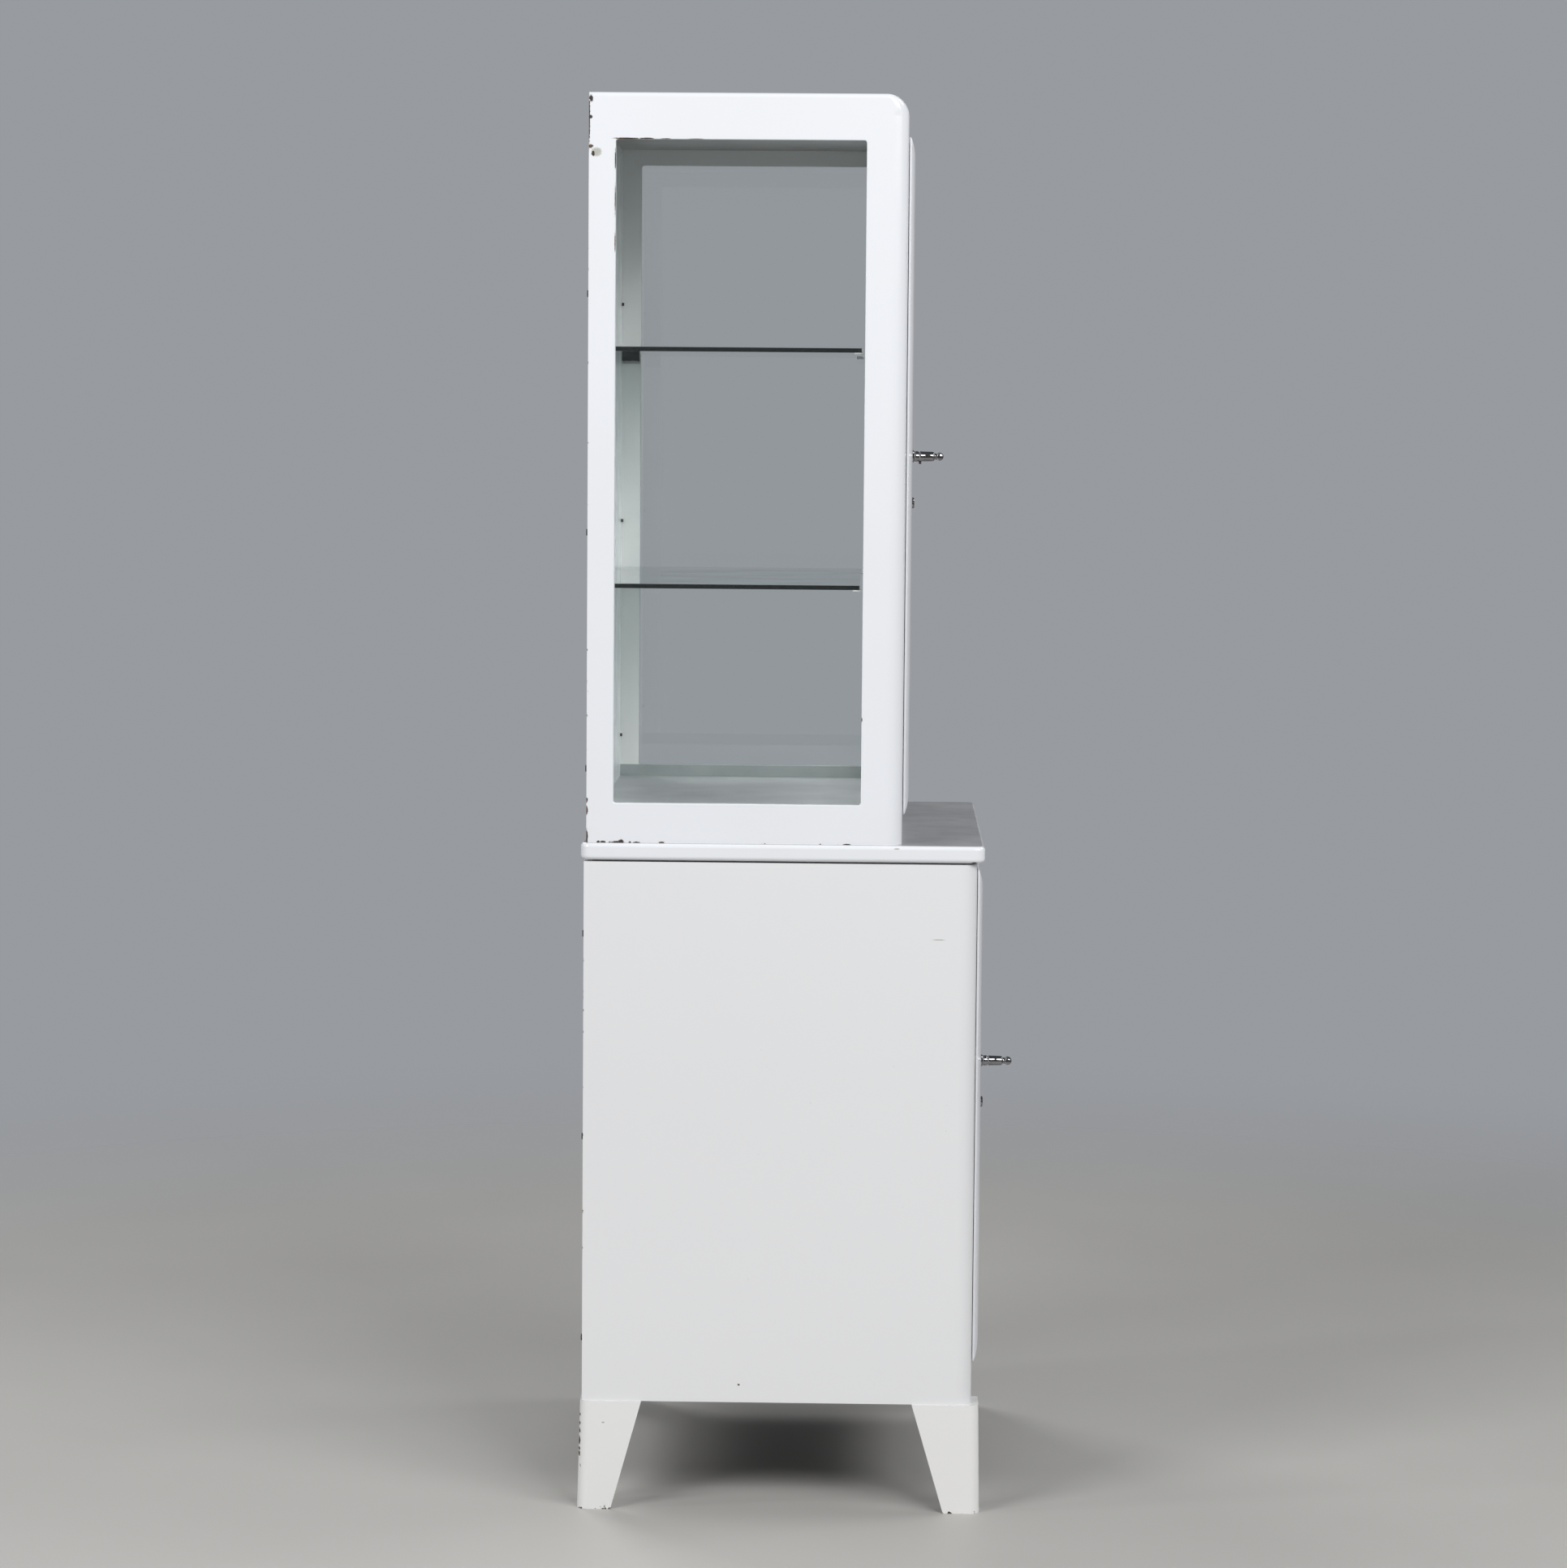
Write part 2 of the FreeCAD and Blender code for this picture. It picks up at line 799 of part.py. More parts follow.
lower_under = lower_shelf_z - s.glass_thickness / 2
upper_under = upper_shelf_z - s.glass_thickness / 2
left_brackets = [
    bracket("bracket_lower_rear", bracket_rear_y, bracket_rear_y, lower_under),
    bracket("bracket_lower_front", bracket_front_y, tongue_y, lower_under),
    bracket("bracket_upper_rear", bracket_rear_y, bracket_rear_y, upper_under - s.sleeve_wall),
    bracket("bracket_upper_front", bracket_front_y, tongue_y, upper_under),
]
right_brackets = [mirror(one.Name + "_right", one) for one in left_brackets]
keep(group("shelf_brackets", *left_brackets, *right_brackets))


# A rubber sleeve round each rear bracket's leg keeps the upper shelf from sliding
sleeve_outer = box(
    "sleeve_outer",
    (-(strip_in - s.bracket_thickness), -(bracket_inner - s.sleeve_wall)),
    bracket_rear_y,
    (upper_under - s.bracket_drop, upper_under),
)
sleeve_bore = box(
    "sleeve_bore",
    (-(strip_in + over), -bracket_inner),
    (bracket_rear_y[0] - over, bracket_rear_y[1] + over),
    (upper_under - s.sleeve_wall - s.bracket_thickness, upper_under - s.sleeve_wall),
)
left_sleeve = cut("left_sleeve", sleeve_outer, sleeve_bore)
keep(group("upper_shelf_sleeves", left_sleeve, mirror("right_sleeve", left_sleeve)))

# Worktop: a sheet pan turned upside down
worktop_x = both(base_half + s.worktop_side_overhang)
worktop_y = (base_front - s.worktop_front_overhang, base_rear + s.worktop_rear_overhang)
worktop_z = (worktop_low, worktop_high)
worktop_block = rounded_block("worktop_form", worktop_x, worktop_y, worktop_z, "z", s.worktop_corner_radius)


def on_worktop_rim(edge):
    return lies(edge, "z", worktop_high) or lies(edge, "z", worktop_low)


worktop_rounded = fillet("worktop_rounded", worktop_block, (on_worktop_rim, s.worktop_edge_radius))
worktop_hollow = rounded_block(
    "worktop_hollow",
    (worktop_x[0] + s.sheet, worktop_x[1] - s.sheet),
    (worktop_y[0] + s.sheet, worktop_y[1] - s.sheet),
    (worktop_low + s.sheet, worktop_high - s.sheet),
    "z",
    s.worktop_corner_radius - s.sheet,
)


def on_hollow_rim(edge):
    return lies(edge, "z", worktop_high - s.sheet) or lies(edge, "z", worktop_low + s.sheet)


worktop_core = fillet("worktop_core", worktop_hollow, (on_hollow_rim, s.worktop_edge_radius - s.sheet))
worktop_mouth = box(
    "worktop_mouth",
    (worktop_x[0] + s.worktop_flange, worktop_x[1] - s.worktop_flange),
    (worktop_y[0] + s.worktop_flange, worktop_y[1] - s.worktop_flange),
    (worktop_low - over, worktop_low + s.sheet + over),
)
keep(cut(
    "worktop",
    worktop_rounded,
    worktop_core,
    worktop_mouth,
    *bolt_holes("worktop_hole", case_bolt_places, worktop_high - over, worktop_high + over),
))

# Base: the shell with its folded opening, then its sheets


def base_block(name, inset, low):
    half = base_half - inset
    front = base_front + inset
    block = box(name + "_block", both(half), (front, base_rear - inset), (low, base_high - inset))
    return fillet(
        name,
        block,
        (lambda edge: along(edge, "z") and lies(edge, "y", front), s.base_corner_radius - inset),
    )


base_form = base_block("base_form", ZERO, base_low)
base_hollow = base_block("base_hollow", s.sheet, base_low - over)
lower_return_y = (base_front + s.sheet, base_front + s.door_return)
lower_tube, lower_bore = fold(
    "lower_opening", both(lower_opening_half), lower_return_y, lower_opening_z, "y", s.opening_corner_radius
)
base_rear_opening = box(
    "base_rear_opening",
    both(base_half - s.rear_return),
    (base_rear - s.sheet - over, base_rear + over),
    (base_low - over, base_high - s.rear_return),
)
base_top_x = both(base_half - s.top_return)
base_top_y = (base_front + s.top_return, base_rear - s.top_return)
base_top_opening = box(
    "base_top_opening", base_top_x, base_top_y, (base_high - s.sheet - over, base_high + over)
)
base_skin = cut("base_skin", base_form, base_hollow)
base_folded = fuse("base_folded", base_skin, lower_tube)
base_shell = cut("base_shell", base_folded, lower_bore, base_rear_opening, base_top_opening)
base_split_y = base_front + s.post_depth
base_out_x = base_half + over
base_mid_z = (lower_opening_z[0] + lower_opening_z[1]) / 2
base_z = (base_low - over, base_high + over)

left_wall_zone = box(
    "left_wall_zone", (-base_out_x, -(base_half - s.side_zone)), (base_split_y, base_rear + over), base_z
)
left_wall = keep(cut("base_left_side", common("left_wall_raw", base_shell, left_wall_zone), *base_holes[:3]))
keep(mirror("base_right_side", left_wall))
left_jamb_zone = box(
    "left_jamb_zone", (-base_out_x, -lower_opening_half), (base_front - over, base_split_y), base_z
)
right_jamb_zone = box(
    "right_jamb_zone", (lower_opening_half, base_out_x), (base_front - over, base_split_y), base_z
)
keep(cut("base_left_post", common("left_jamb_raw", base_shell, left_jamb_zone), *lower_buffer_holes))
keep(common("base_right_post", base_shell, right_jamb_zone))
lower_top_zone = box(
    "lower_top_zone", both(lower_opening_half), (base_front - over, base_split_y), (base_mid_z, base_z[1])
)
lower_low_zone = box(
    "lower_low_zone", both(lower_opening_half), (base_front - over, base_split_y), (base_z[0], base_mid_z)
)
keep(common("base_top_rail", base_shell, lower_top_zone))
keep(common("base_low_rail", base_shell, lower_low_zone))

top_pan = tray(
    "base_top_pan", base_top_x, base_top_y, (base_high - s.base_top_skirt, base_high + s.worktop_gap), True
)
keep(cut(
    "base_top",
    top_pan,
    *bolt_holes("base_top_hole", case_bolt_places, base_high - over, base_high + s.worktop_gap + over),
))

base_inner_y = (base_front + s.sheet, base_rear - s.back_depth)
foot_bolt_x = base_half - s.bolt_inset
foot_bolt_y = (
    base_front + s.bolt_inset,
    base_front + s.front_foot_top - s.front_foot_proud - s.bolt_inset,
    base_rear - s.rear_foot_top + s.rear_foot_proud + s.bolt_inset,
    base_rear - s.bolt_inset,
)
foot_bolt_places = [(x, y) for x in (-foot_bolt_x, foot_bolt_x) for y in foot_bolt_y]
base_floor_pan = tray(
    "base_floor_pan",
    both(base_half - s.sheet),
    base_inner_y,
    (base_low, base_low + s.base_floor_height),
    True,
    s.floor_flange,
)
base_floor_fitted = common("base_floor_fitted", base_floor_pan, base_hollow)
keep(cut(
    "base_floor",
    base_floor_fitted,
    *bolt_holes("base_floor_hole", foot_bolt_places, base_low - over, base_low + s.sheet + over),
))
keep(back_pan("base_back", base_half, base_rear, (base_low, base_high - s.sheet), base_holes))

# Steel shelf of the base on two ledges
base_shelf_y = (base_front + s.base_shelf_front_gap, base_rear - s.back_depth - s.shelf_rear_gap)
keep(tray(
    "base_shelf",
    both(base_half - s.sheet - s.base_shelf_side_gap),
    base_shelf_y,
    (base_shelf_z - s.base_shelf_fold, base_shelf_z),
    True,
))


def ledge(name):
    """An angle on the side wall that carries the end of the steel shelf."""
    wall = base_half - s.sheet
    top = base_shelf_z - s.base_shelf_fold
    upright = box(name + "_upright", (-wall, -(wall - s.sheet)), base_shelf_y, (top - s.ledge_width, top))
    leg = box(name + "_leg", (-wall, -(wall - s.ledge_width)), base_shelf_y, (top - s.sheet, top))
    return fuse(name, upright, leg)


left_ledge = ledge("left_ledge")
keep(group("base_shelf_ledges", left_ledge, mirror("right_ledge", left_ledge)))

# Fasteners


def pan_screw(name, x, rear):
    """A pan-head screw from behind, through the return and the back panel into the inside."""
    def one(number, z):
        head = rod(f"{name}_head_{number}", "Y", (x, rear, z), s.screw_head_height, s.screw_head_radius)
        length = s.back_depth + s.screw_tip
        shank = rod(f"{name}_shank_{number}", "Y", (x, rear - length, z), length, s.screw_radius)
        return fuse(f"{name}_{number}", head, shank)
    return one


back_screws = []
for side, x in (("left", -case_screw_x), ("right", case_screw_x)):
    make = pan_screw(f"case_screw_{side}", x, case_rear)
    back_screws += [make(step, z) for step, z in enumerate(case_screw_z)]
for side, x in (("left", -base_screw_x), ("right", base_screw_x)):
    make = pan_screw(f"base_screw_{side}", x, base_rear)
    back_screws += [make(step, z) for step, z in enumerate(base_screw_z)]
keep(group("back_screws", *back_screws))


def hexagon(name, x, y, low, height, radius):
    prism = doc.addObject("Part::Prism", name)
    prism.Polygon = 6
    bind(prism, Circumradius=radius, Height=height)
    return place(prism, x, y, low)


def bolt_set(name, x, y, under, grip_top):
    """A hexagon bolt from below and its nut on top of what it clamps."""
    tail = grip_top + s.bolt_head_height
    head = hexagon(name + "_head", x, y, under - s.bolt_head_height, s.bolt_head_height, s.bolt_head_radius)
    shank = rod(name + "_shank", "Z", (x, y, under), tail - under, s.bolt_radius)
    nut = hexagon(name + "_nut", x, y, grip_top, s.bolt_head_height, s.bolt_head_radius)
    return fuse(name, head, shank, nut)


keep(group("worktop_bolts", *[
    bolt_set(f"worktop_bolt_{step}", x, y, worktop_low - s.sheet, case_low + s.sheet)
    for step, (x, y) in enumerate(case_bolt_places)
]))
keep(group("foot_bolts", *[
    bolt_set(f"foot_bolt_{step}", x, y, base_low - s.foot_sheet, base_low + s.sheet)
    for step, (x, y) in enumerate(foot_bolt_places)
]))

# Feet


def span(outer, length, direction):
    """The span of one length inward from an outer end, where the outside lies in the direction."""
    inner = outer - length * direction
    return (outer, inner) if direction < 0 else (inner, outer)


def tapered(name, low_x, low_y, top_x, top_y, low, high):
    """A block whose bottom and top rectangles differ, between two heights."""
    wedge = doc.addObject("Part::Wedge", name)
    bind(wedge, Xmin=low_x[0], Xmax=low_x[1], X2min=top_x[0], X2max=top_x[1], Ymin=low, Ymax=high)
    bind(wedge, Zmin=-low_y[1], Zmax=-low_y[0], Z2min=-top_y[1], Z2max=-top_y[0])
    wedge.Placement.Rotation = UPRIGHT
    return wedge


def foot(name, base_end, direction, proud, flare, top_length, low_length):
    """A corner foot of bent sheet: two tapering walls between a top plate and a small sole."""
    side = base_half + s.foot_side_proud
    end = base_end + proud * direction

    def block(tag, inset, reach):
        top_side = side - inset
        low_side = side + s.foot_side_flare - inset
        top_end = end - inset * direction
        low_end = end + flare * direction - inset * direction
        wedge = tapered(
            tag,
            (-low_side, -(low_side - s.foot_width_bottom - reach)),
            span(low_end, low_length + reach, direction),
            (-top_side, -(top_side - s.foot_width_top - reach)),
            span(top_end, top_length + reach, direction),
            ZERO,
            base_low,
        )
        middle_x = (top_side + low_side) / 2
        middle_y = (top_end + low_end) / 2

        def on_corner(edge):
            centre = edge.CenterOfMass
            return abs(centre.x + float(middle_x)) < near and abs(centre.y - float(middle_y)) < near

        return fillet(tag + "_rounded", wedge, (on_corner, s.foot_corner_radius - inset))

    outer = block(name + "_outer", ZERO, ZERO)
    inner = block(name + "_inner", s.foot_sheet, over)
    between = box(
        name + "_between",
        (-(side + over * 2), ZERO),
        span(end + over * direction * 2, top_length + over * 4, direction),
        (s.foot_sheet, base_low - s.foot_sheet),
    )
    hollow = common(name + "_hollow", inner, between)
    sole_opening = box(
        name + "_sole_opening",
        (-(side - s.foot_sole), ZERO),
        span(end - s.foot_sole * direction, top_length, direction),
        (-over, s.foot_sheet + over),
    )
    places = [place for place in foot_bolt_places if float(place[0]) < 0]
    holes = bolt_holes(name + "_hole", places, base_low - over, base_low + over)
    return cut(name, outer, hollow, sole_opening, *holes)


front_foot = keep(foot(
    "front_left_foot", base_front, -1, s.front_foot_proud, s.front_foot_flare,
    s.front_foot_top, s.front_foot_bottom,
))
keep(mirror("front_right_foot", front_foot))
rear_foot = keep(foot(
    "rear_left_foot", base_rear, 1, s.rear_foot_proud, s.rear_foot_flare,
    s.rear_foot_top, s.rear_foot_bottom,
))
keep(mirror("rear_right_foot", rear_foot))

# Doors


def rounded_wire(half, z, y, radius):
    """A rounded rectangle that faces the front, as one closed wire."""
    def at(u, v):
        return FreeCAD.Vector(u, y, v)

    low, high = z
    corners = [(half, high, 0), (-half, high, 90), (-half, low, 180), (half, low, 270)]
    edges = []
    previous = None
    first = None
    for u, v, start in corners:
        centre_u = u - math.copysign(radius, u)
        centre_v = v - radius if v == high else v + radius

        def on_arc(angle, cu=centre_u, cv=centre_v):
            turn = math.radians(angle)
            return at(cu + radius * math.cos(turn), cv + radius * math.sin(turn))

        begin, middle, finish = on_arc(start), on_arc(start + 45), on_arc(start + 90)
        if previous is not None:
            edges.append(Part.LineSegment(previous, begin).toShape())
        else:
            first = begin
        edges.append(Part.Arc(begin, middle, finish).toShape())
        previous = finish
    edges.append(Part.LineSegment(previous, first).toShape())
    return Part.Wire(edges)


def pillow(name, half, z, back, inset, reach):
    """The form of a pressed door: an upright rim, a soft shoulder and a low crown to a flat face."""
    steps = [
        (inset, back + reach),
        (inset, back - s.door_rim + inset),
        (inset + s.door_shoulder_width, back - s.door_rim - s.door_shoulder_rise + inset),
        (inset + s.door_crown_width, back - door_rise + inset),
    ]
    radius = float(s.door_corner_radius - inset)
    wires = [
        rounded_wire(
            float(half - drawn_in), (float(z[0] + drawn_in), float(z[1] - drawn_in)), float(level), radius
        )
        for drawn_in, level in steps
    ]
    form = doc.addObject("Part::Feature", name)
    form.Shape = Part.makeLoft(wires, True, True)
    return form


def liner(name, half, z, front, opening_half, opening_z):
    """The inner pan: a flange inside the door's rim and a tray that enters the opening."""
    back = front - s.door_gap
    flange = rounded_block(
        name + "_flange",
        both(half - s.sheet),
        (back - s.sheet, back),
        (z[0] + s.sheet, z[1] - s.sheet),
        "y",
        s.door_corner_radius - s.sheet,
    )
    clear = s.liner_clearance
    body = rounded_block(
        name + "_body",
        both(opening_half - clear),
        (back - s.sheet, front + s.liner_depth),
        (opening_z[0] + clear, opening_z[1] - clear),
        "y",
        s.opening_corner_radius,
    )
    wall = clear + s.sheet
    hollow = rounded_block(
        name + "_hollow",
        both(opening_half - wall),
        (back - s.sheet - over, front + s.liner_depth - s.sheet),
        (opening_z[0] + wall, opening_z[1] - wall),
        "y",
        s.opening_corner_radius - s.sheet,
    )
    return fuse(name + "_solid", flange, body), hollow


def through(name, x, z, front, radius):
    """A hole from front to back through the whole door."""
    start = front - front_reach
    return rod(name, "Y", (x, start, z), front_reach + s.liner_depth + over, radius)


def fitting_holes(name, x, handle_z, lock_z, front):
    spindle = s.spindle_radius + s.hole_clearance
    barrel = s.lock_barrel_radius + s.spindle_clearance
    return [
        through(name + "_spindle_hole", x, handle_z, front, spindle),
        through(name + "_lock_hole", x, lock_z, front, barrel),
    ]


upper_door_z = (case_low + s.upper_door_low_margin, case_high - s.upper_door_top_margin)
upper_back = case_front - s.door_gap
upper_face = upper_back - door_rise
upper_axis_x = -(upper_door_half - s.handle_inset)
upper_lock_z = upper_handle_z - s.upper_lock_drop
lower_door_z = (base_low + s.lower_door_low_margin, base_high - s.lower_door_top_margin)
lower_back = base_front - s.door_gap
lower_axis_x = -(lower_door_half - s.handle_inset)
lower_lock_z = lower_handle_z - s.lower_lock_drop

light_half = upper_door_half - s.door_border
light_z = (upper_door_z[0] + s.door_border, upper_door_z[1] - s.door_border)
glass_y = (upper_face + s.window_return, upper_face + s.window_return + s.pane_thickness)
skin_tube, light_bore = fold(
    "door_light", both(light_half), (upper_face + s.sheet, glass_y[0]), light_z, "y", s.window_corner_radius
)
liner_tube, liner_bore = fold(
    "liner_light", both(light_half), (glass_y[1], case_front + s.liner_depth), light_z, "y",
    s.window_corner_radius,
)
upper_pressed = pillow("upper_pressed", upper_door_half, upper_door_z, upper_back, ZERO, ZERO)
upper_pressed_hollow = pillow(
    "upper_pressed_hollow", upper_door_half, upper_door_z, upper_back, s.sheet, over
)
upper_skin = cut("upper_skin", upper_pressed, upper_pressed_hollow)
upper_holes = fitting_holes("upper", upper_axis_x, upper_handle_z, upper_lock_z, case_front)
upper_frame_raw = cut(
    "upper_frame_raw", fuse("upper_skin_folded", upper_skin, skin_tube), light_bore, *upper_holes
)


def on_light_mouth(edge):
    middle = edge.CenterOfMass
    inside_x = abs(middle.x) < float(light_half) + near
    inside_z = float(light_z[0]) - near < middle.z < float(light_z[1]) + near
    level = lies(edge, "y", upper_face) and not on_hole(edge)
    return level and inside_x and inside_z


def on_hole(edge):
    return isinstance(edge.Curve, Part.Circle) and edge.isClosed()


keep(fillet("upper_door_frame", upper_frame_raw, (on_light_mouth, s.fold_radius)))
liner_solid, liner_hollow = liner(
    "upper_liner", upper_door_half, upper_door_z, case_front, upper_opening_half, upper_opening_z
)
liner_open = cut("upper_liner_open", liner_solid, liner_hollow)
keep(cut("upper_door_liner", fuse("upper_liner_folded", liner_open, liner_tube), liner_bore, *upper_holes))
keep(box(
    "upper_door_glass",
    both(light_half + s.pane_overlap),
    glass_y,
    (light_z[0] - s.pane_overlap, light_z[1] + s.pane_overlap),
))

lower_holes = fitting_holes("lower", lower_axis_x, lower_handle_z, lower_lock_z, base_front)
lower_pressed = pillow("lower_pressed", lower_door_half, lower_door_z, lower_back, ZERO, ZERO)
lower_pressed_hollow = pillow(
    "lower_pressed_hollow", lower_door_half, lower_door_z, lower_back, s.sheet, over
)
keep(cut("lower_door_skin", lower_pressed, lower_pressed_hollow, *lower_holes))
liner_solid, liner_hollow = liner(
    "lower_liner", lower_door_half, lower_door_z, base_front, lower_opening_half, lower_opening_z
)
keep(cut("lower_door_liner", liner_solid, liner_hollow, *lower_holes))

# Hinges: knuckles outside the right edge of each door, on one pin each
hinge_reach = s.hinge_edge_gap + s.knuckle_radius


def hinge_axis(door_half, front):
    return door_half + hinge_reach, front - s.hinge_face_gap - s.knuckle_radius


def hinge_heights(door_z):
    """The low end of each hinge, by its distance from the door's ends."""
    total = s.knuckle_length * 2 + s.knuckle_gap
    return [door_z[0] + s.hinge_inset - total / 2, door_z[1] - s.hinge_inset - total / 2]


def knuckle(name, x, y, low, lug, form=None):
    """A rolled knuckle with its welded lug, bored for the pin."""
    tube = rod(name + "_tube", "Z", (x, y, low), s.knuckle_length, s.knuckle_radius)
    solid = fuse(name + "_raw", tube, lug)
    bore = rod(
        name + "_bore", "Z", (x, y, low - over), s.knuckle_length + over * 2,
        s.hinge_pin_radius + s.hinge_running_clearance,
    )
    return cut(name, solid, bore) if form is None else cut(name, solid, bore, form)


def hinge_pin(name, x, y, low):
    """A pin with a low domed head at each end."""
    length = s.knuckle_length * 2 + s.knuckle_gap * 2
    head = s.hinge_cap_height
    wide = s.knuckle_radius
    crown = s.hinge_pin_radius
    profile = [
        (ZERO, ZERO),
        (crown, ZERO),
        (wide, head * pin_cap_share),
        (wide, head),
        (s.hinge_pin_radius, head),
        (s.hinge_pin_radius, head + length),
        (wide, head + length),
        (wide, head * 2 - head * pin_cap_share + length),
        (crown, head * 2 + length),
        (ZERO, head * 2 + length),
    ]
    pin = turned(name, profile, UPRIGHT)
    return place(pin, x, y, low - head)


def hinge_set(name, door_half, door_z, front, form):
    x, y = hinge_axis(door_half, front)
    back = front - s.door_gap
    lug_high = back - (s.door_rim - s.hinge_lug_thickness) / 2
    fixed, moving, pins = [], [], []
    for step, low in enumerate(hinge_heights(door_z)):
        up = low + s.knuckle_length + s.knuckle_gap
        door_lug = box(
            f"{name}_door_lug_{step}",
            (door_half, x),
            (lug_high - s.hinge_lug_thickness, lug_high),
            (up, up + s.knuckle_length),
        )
        frame_lug = box(
            f"{name}_frame_lug_{step}",
            (x - s.hinge_lug_thickness / 2, x + s.hinge_lug_thickness / 2),
            (y, front + s.sheet),
            (low, low + s.knuckle_length),
        )
        moving.append(knuckle(f"{name}_door_knuckle_{step}", x, y, up, door_lug))
        fixed.append(knuckle(f"{name}_frame_knuckle_{step}", x, y, low, frame_lug, form))
        pins.append(hinge_pin(f"{name}_pin_{step}", x, y, low))
    return fixed, moving, pins


upper_fixed, upper_moving, upper_pins = hinge_set(
    "upper", upper_door_half, upper_door_z, case_front, case_form
)
lower_fixed, lower_moving, lower_pins = hinge_set(
    "lower", lower_door_half, lower_door_z, base_front, base_form
)
keep(group("frame_knuckles", *upper_fixed, *lower_fixed))
keep(group("hinge_pins", *upper_pins, *lower_pins))
keep(group("upper_door_knuckles", *upper_moving))
keep(group("lower_door_knuckles", *lower_moving))

# Handles, latches and locks


def handle(name, x, z, front):
    """A turned neck on its spindle, a groove, and a short olive grip across its outer end."""
    face = front - s.door_gap - door_rise
    cam_y = front + s.liner_depth + s.latch_gap
    tail_y = cam_y + s.latch_thickness + s.latch_nut_thickness
    shoulder = tail_y - face + s.rose_thickness
    grip_axis = tail_y - face + s.handle_reach - s.grip_middle_radius
    neck_end = grip_axis - s.grip_middle_radius - s.neck_groove
    profile = [
        (ZERO, ZERO),
        (s.spindle_radius, ZERO),
        (s.spindle_radius, shoulder),
        (s.neck_root_radius, shoulder),
        (s.neck_root_radius, shoulder + s.rose_thickness),
        (s.neck_end_radius, neck_end),
        (s.grip_stem_radius, neck_end),
        (s.grip_stem_radius, grip_axis),
        (ZERO, grip_axis),
    ]
    neck = place(turned(name + "_neck", profile, OUTWARD), x, tail_y, z)
    tip = s.grip_end_radius
    grip_profile = [
        (ZERO, ZERO),
        (tip * grip_end_share, ZERO),
        (tip, tip * grip_bevel_share),
        (s.grip_middle_radius, s.grip_length / 2),
        (tip, s.grip_length - tip * grip_bevel_share),
        (tip * grip_end_share, s.grip_length),
        (ZERO, s.grip_length),
    ]
    sideways = FreeCAD.Rotation(FreeCAD.Vector(0, 0, 1), -90)
    grip_x = x - s.grip_length / 2
    grip = place(turned(name + "_grip", grip_profile, sideways), grip_x, tail_y - grip_axis, z)
    return keep(fuse(name, neck, grip))


def rose(name, x, z, face):
    """A small domed washer that the spindle turns in."""
    inner = s.spindle_radius + s.spindle_clearance
    profile = [
        (inner, ZERO),
        (s.rose_radius, ZERO),
        (s.rose_radius, s.rose_thickness * rose_bevel_share),
        (s.rose_radius - s.rose_thickness * rose_bevel_share, s.rose_thickness),
        (inner, s.rose_thickness),
    ]
    return keep(place(turned(name, profile, OUTWARD), x, face, z))


def pointer(name, x, y, z, length, width, thickness, bore):
    """A flat tongue that hangs down from its axis, with round ends and a hole."""
    half = width / 2
    bar = box(name + "_bar", (x - half, x + half), (y, y + thickness), (z - length + half, z))
    head = rod(name + "_head", "Y", (x, y, z), thickness, half)
    tip = rod(name + "_tip", "Y", (x, y, z - length + half), thickness, half)
    solid = fuse(name + "_solid", bar, head, tip)
    hole = rod(name + "_bore", "Y", (x, y - over, z), thickness + over * 2, bore)
    return cut(name, solid, hole)


def latch(name, x, z, front):
    """The tongue on the spindle's tail and the nut that holds it."""
    y = front + s.liner_depth + s.latch_gap
    bore = s.spindle_radius + s.hinge_running_clearance
    tongue = pointer(name + "_tongue", x, y, z, s.latch_length, s.latch_width, s.latch_thickness, bore)
    nut_y = y + s.latch_thickness
    ring = rod(name + "_nut_form", "Y", (x, nut_y, z), s.latch_nut_thickness, s.latch_nut_radius)
    hole = rod(name + "_nut_bore", "Y", (x, y, z), s.latch_thickness + s.latch_nut_thickness + over, bore)
    return keep(group(name, tongue, cut(name + "_nut", ring, hole)))


def lock_barrel(name, x, z, front):
    """The fixed barrel of the lock, with its ring on the door's face."""
    face = front - s.door_gap - door_rise
    length = face - front - s.liner_depth
    bore = s.lock_radius + s.spindle_clearance
    ring = s.lock_ring_radius
    lip = s.lock_ring_thickness
    depth = -length
    profile = [
        (bore, ZERO),
        (s.lock_barrel_radius, ZERO),
        (s.lock_barrel_radius, depth),
        (ring, depth),
        (ring, depth + lip * ring_wall_share),
        (ring - lip * ring_bevel_share, depth + lip),
        (bore, depth + lip),
    ]
    return keep(place(turned(name, profile, OUTWARD), x, front + s.liner_depth, z))


def lock_rotor(name, x, z, front):
    """The turning plug with its key slot, and the cam riveted to its tail."""
    face = front - s.door_gap - door_rise
    nose = face - s.lock_ring_thickness + s.lock_recess
    cam_y = front + s.liner_depth + s.latch_gap
    plug = rod(name + "_plug", "Y", (x, nose, z), cam_y - nose, s.lock_radius)
    half = s.lock_cam_width / 2
    bar = box(
        name + "_cam", (x - half, x + half), (cam_y, cam_y + s.latch_thickness), (z - s.lock_cam_length, z)
    )
    head = rod(name + "_cam_head", "Y", (x, cam_y, z), s.latch_thickness, half)
    slot = box(
        name + "_key_slot",
        (x - s.key_slot_width / 2, x + s.key_slot_width / 2),
        (nose - over, nose + s.key_slot_depth),
        (z - s.key_slot_height / 2, z + s.key_slot_height / 2),
    )
    return keep(cut(name, fuse(name + "_solid", plug, bar, head), slot))


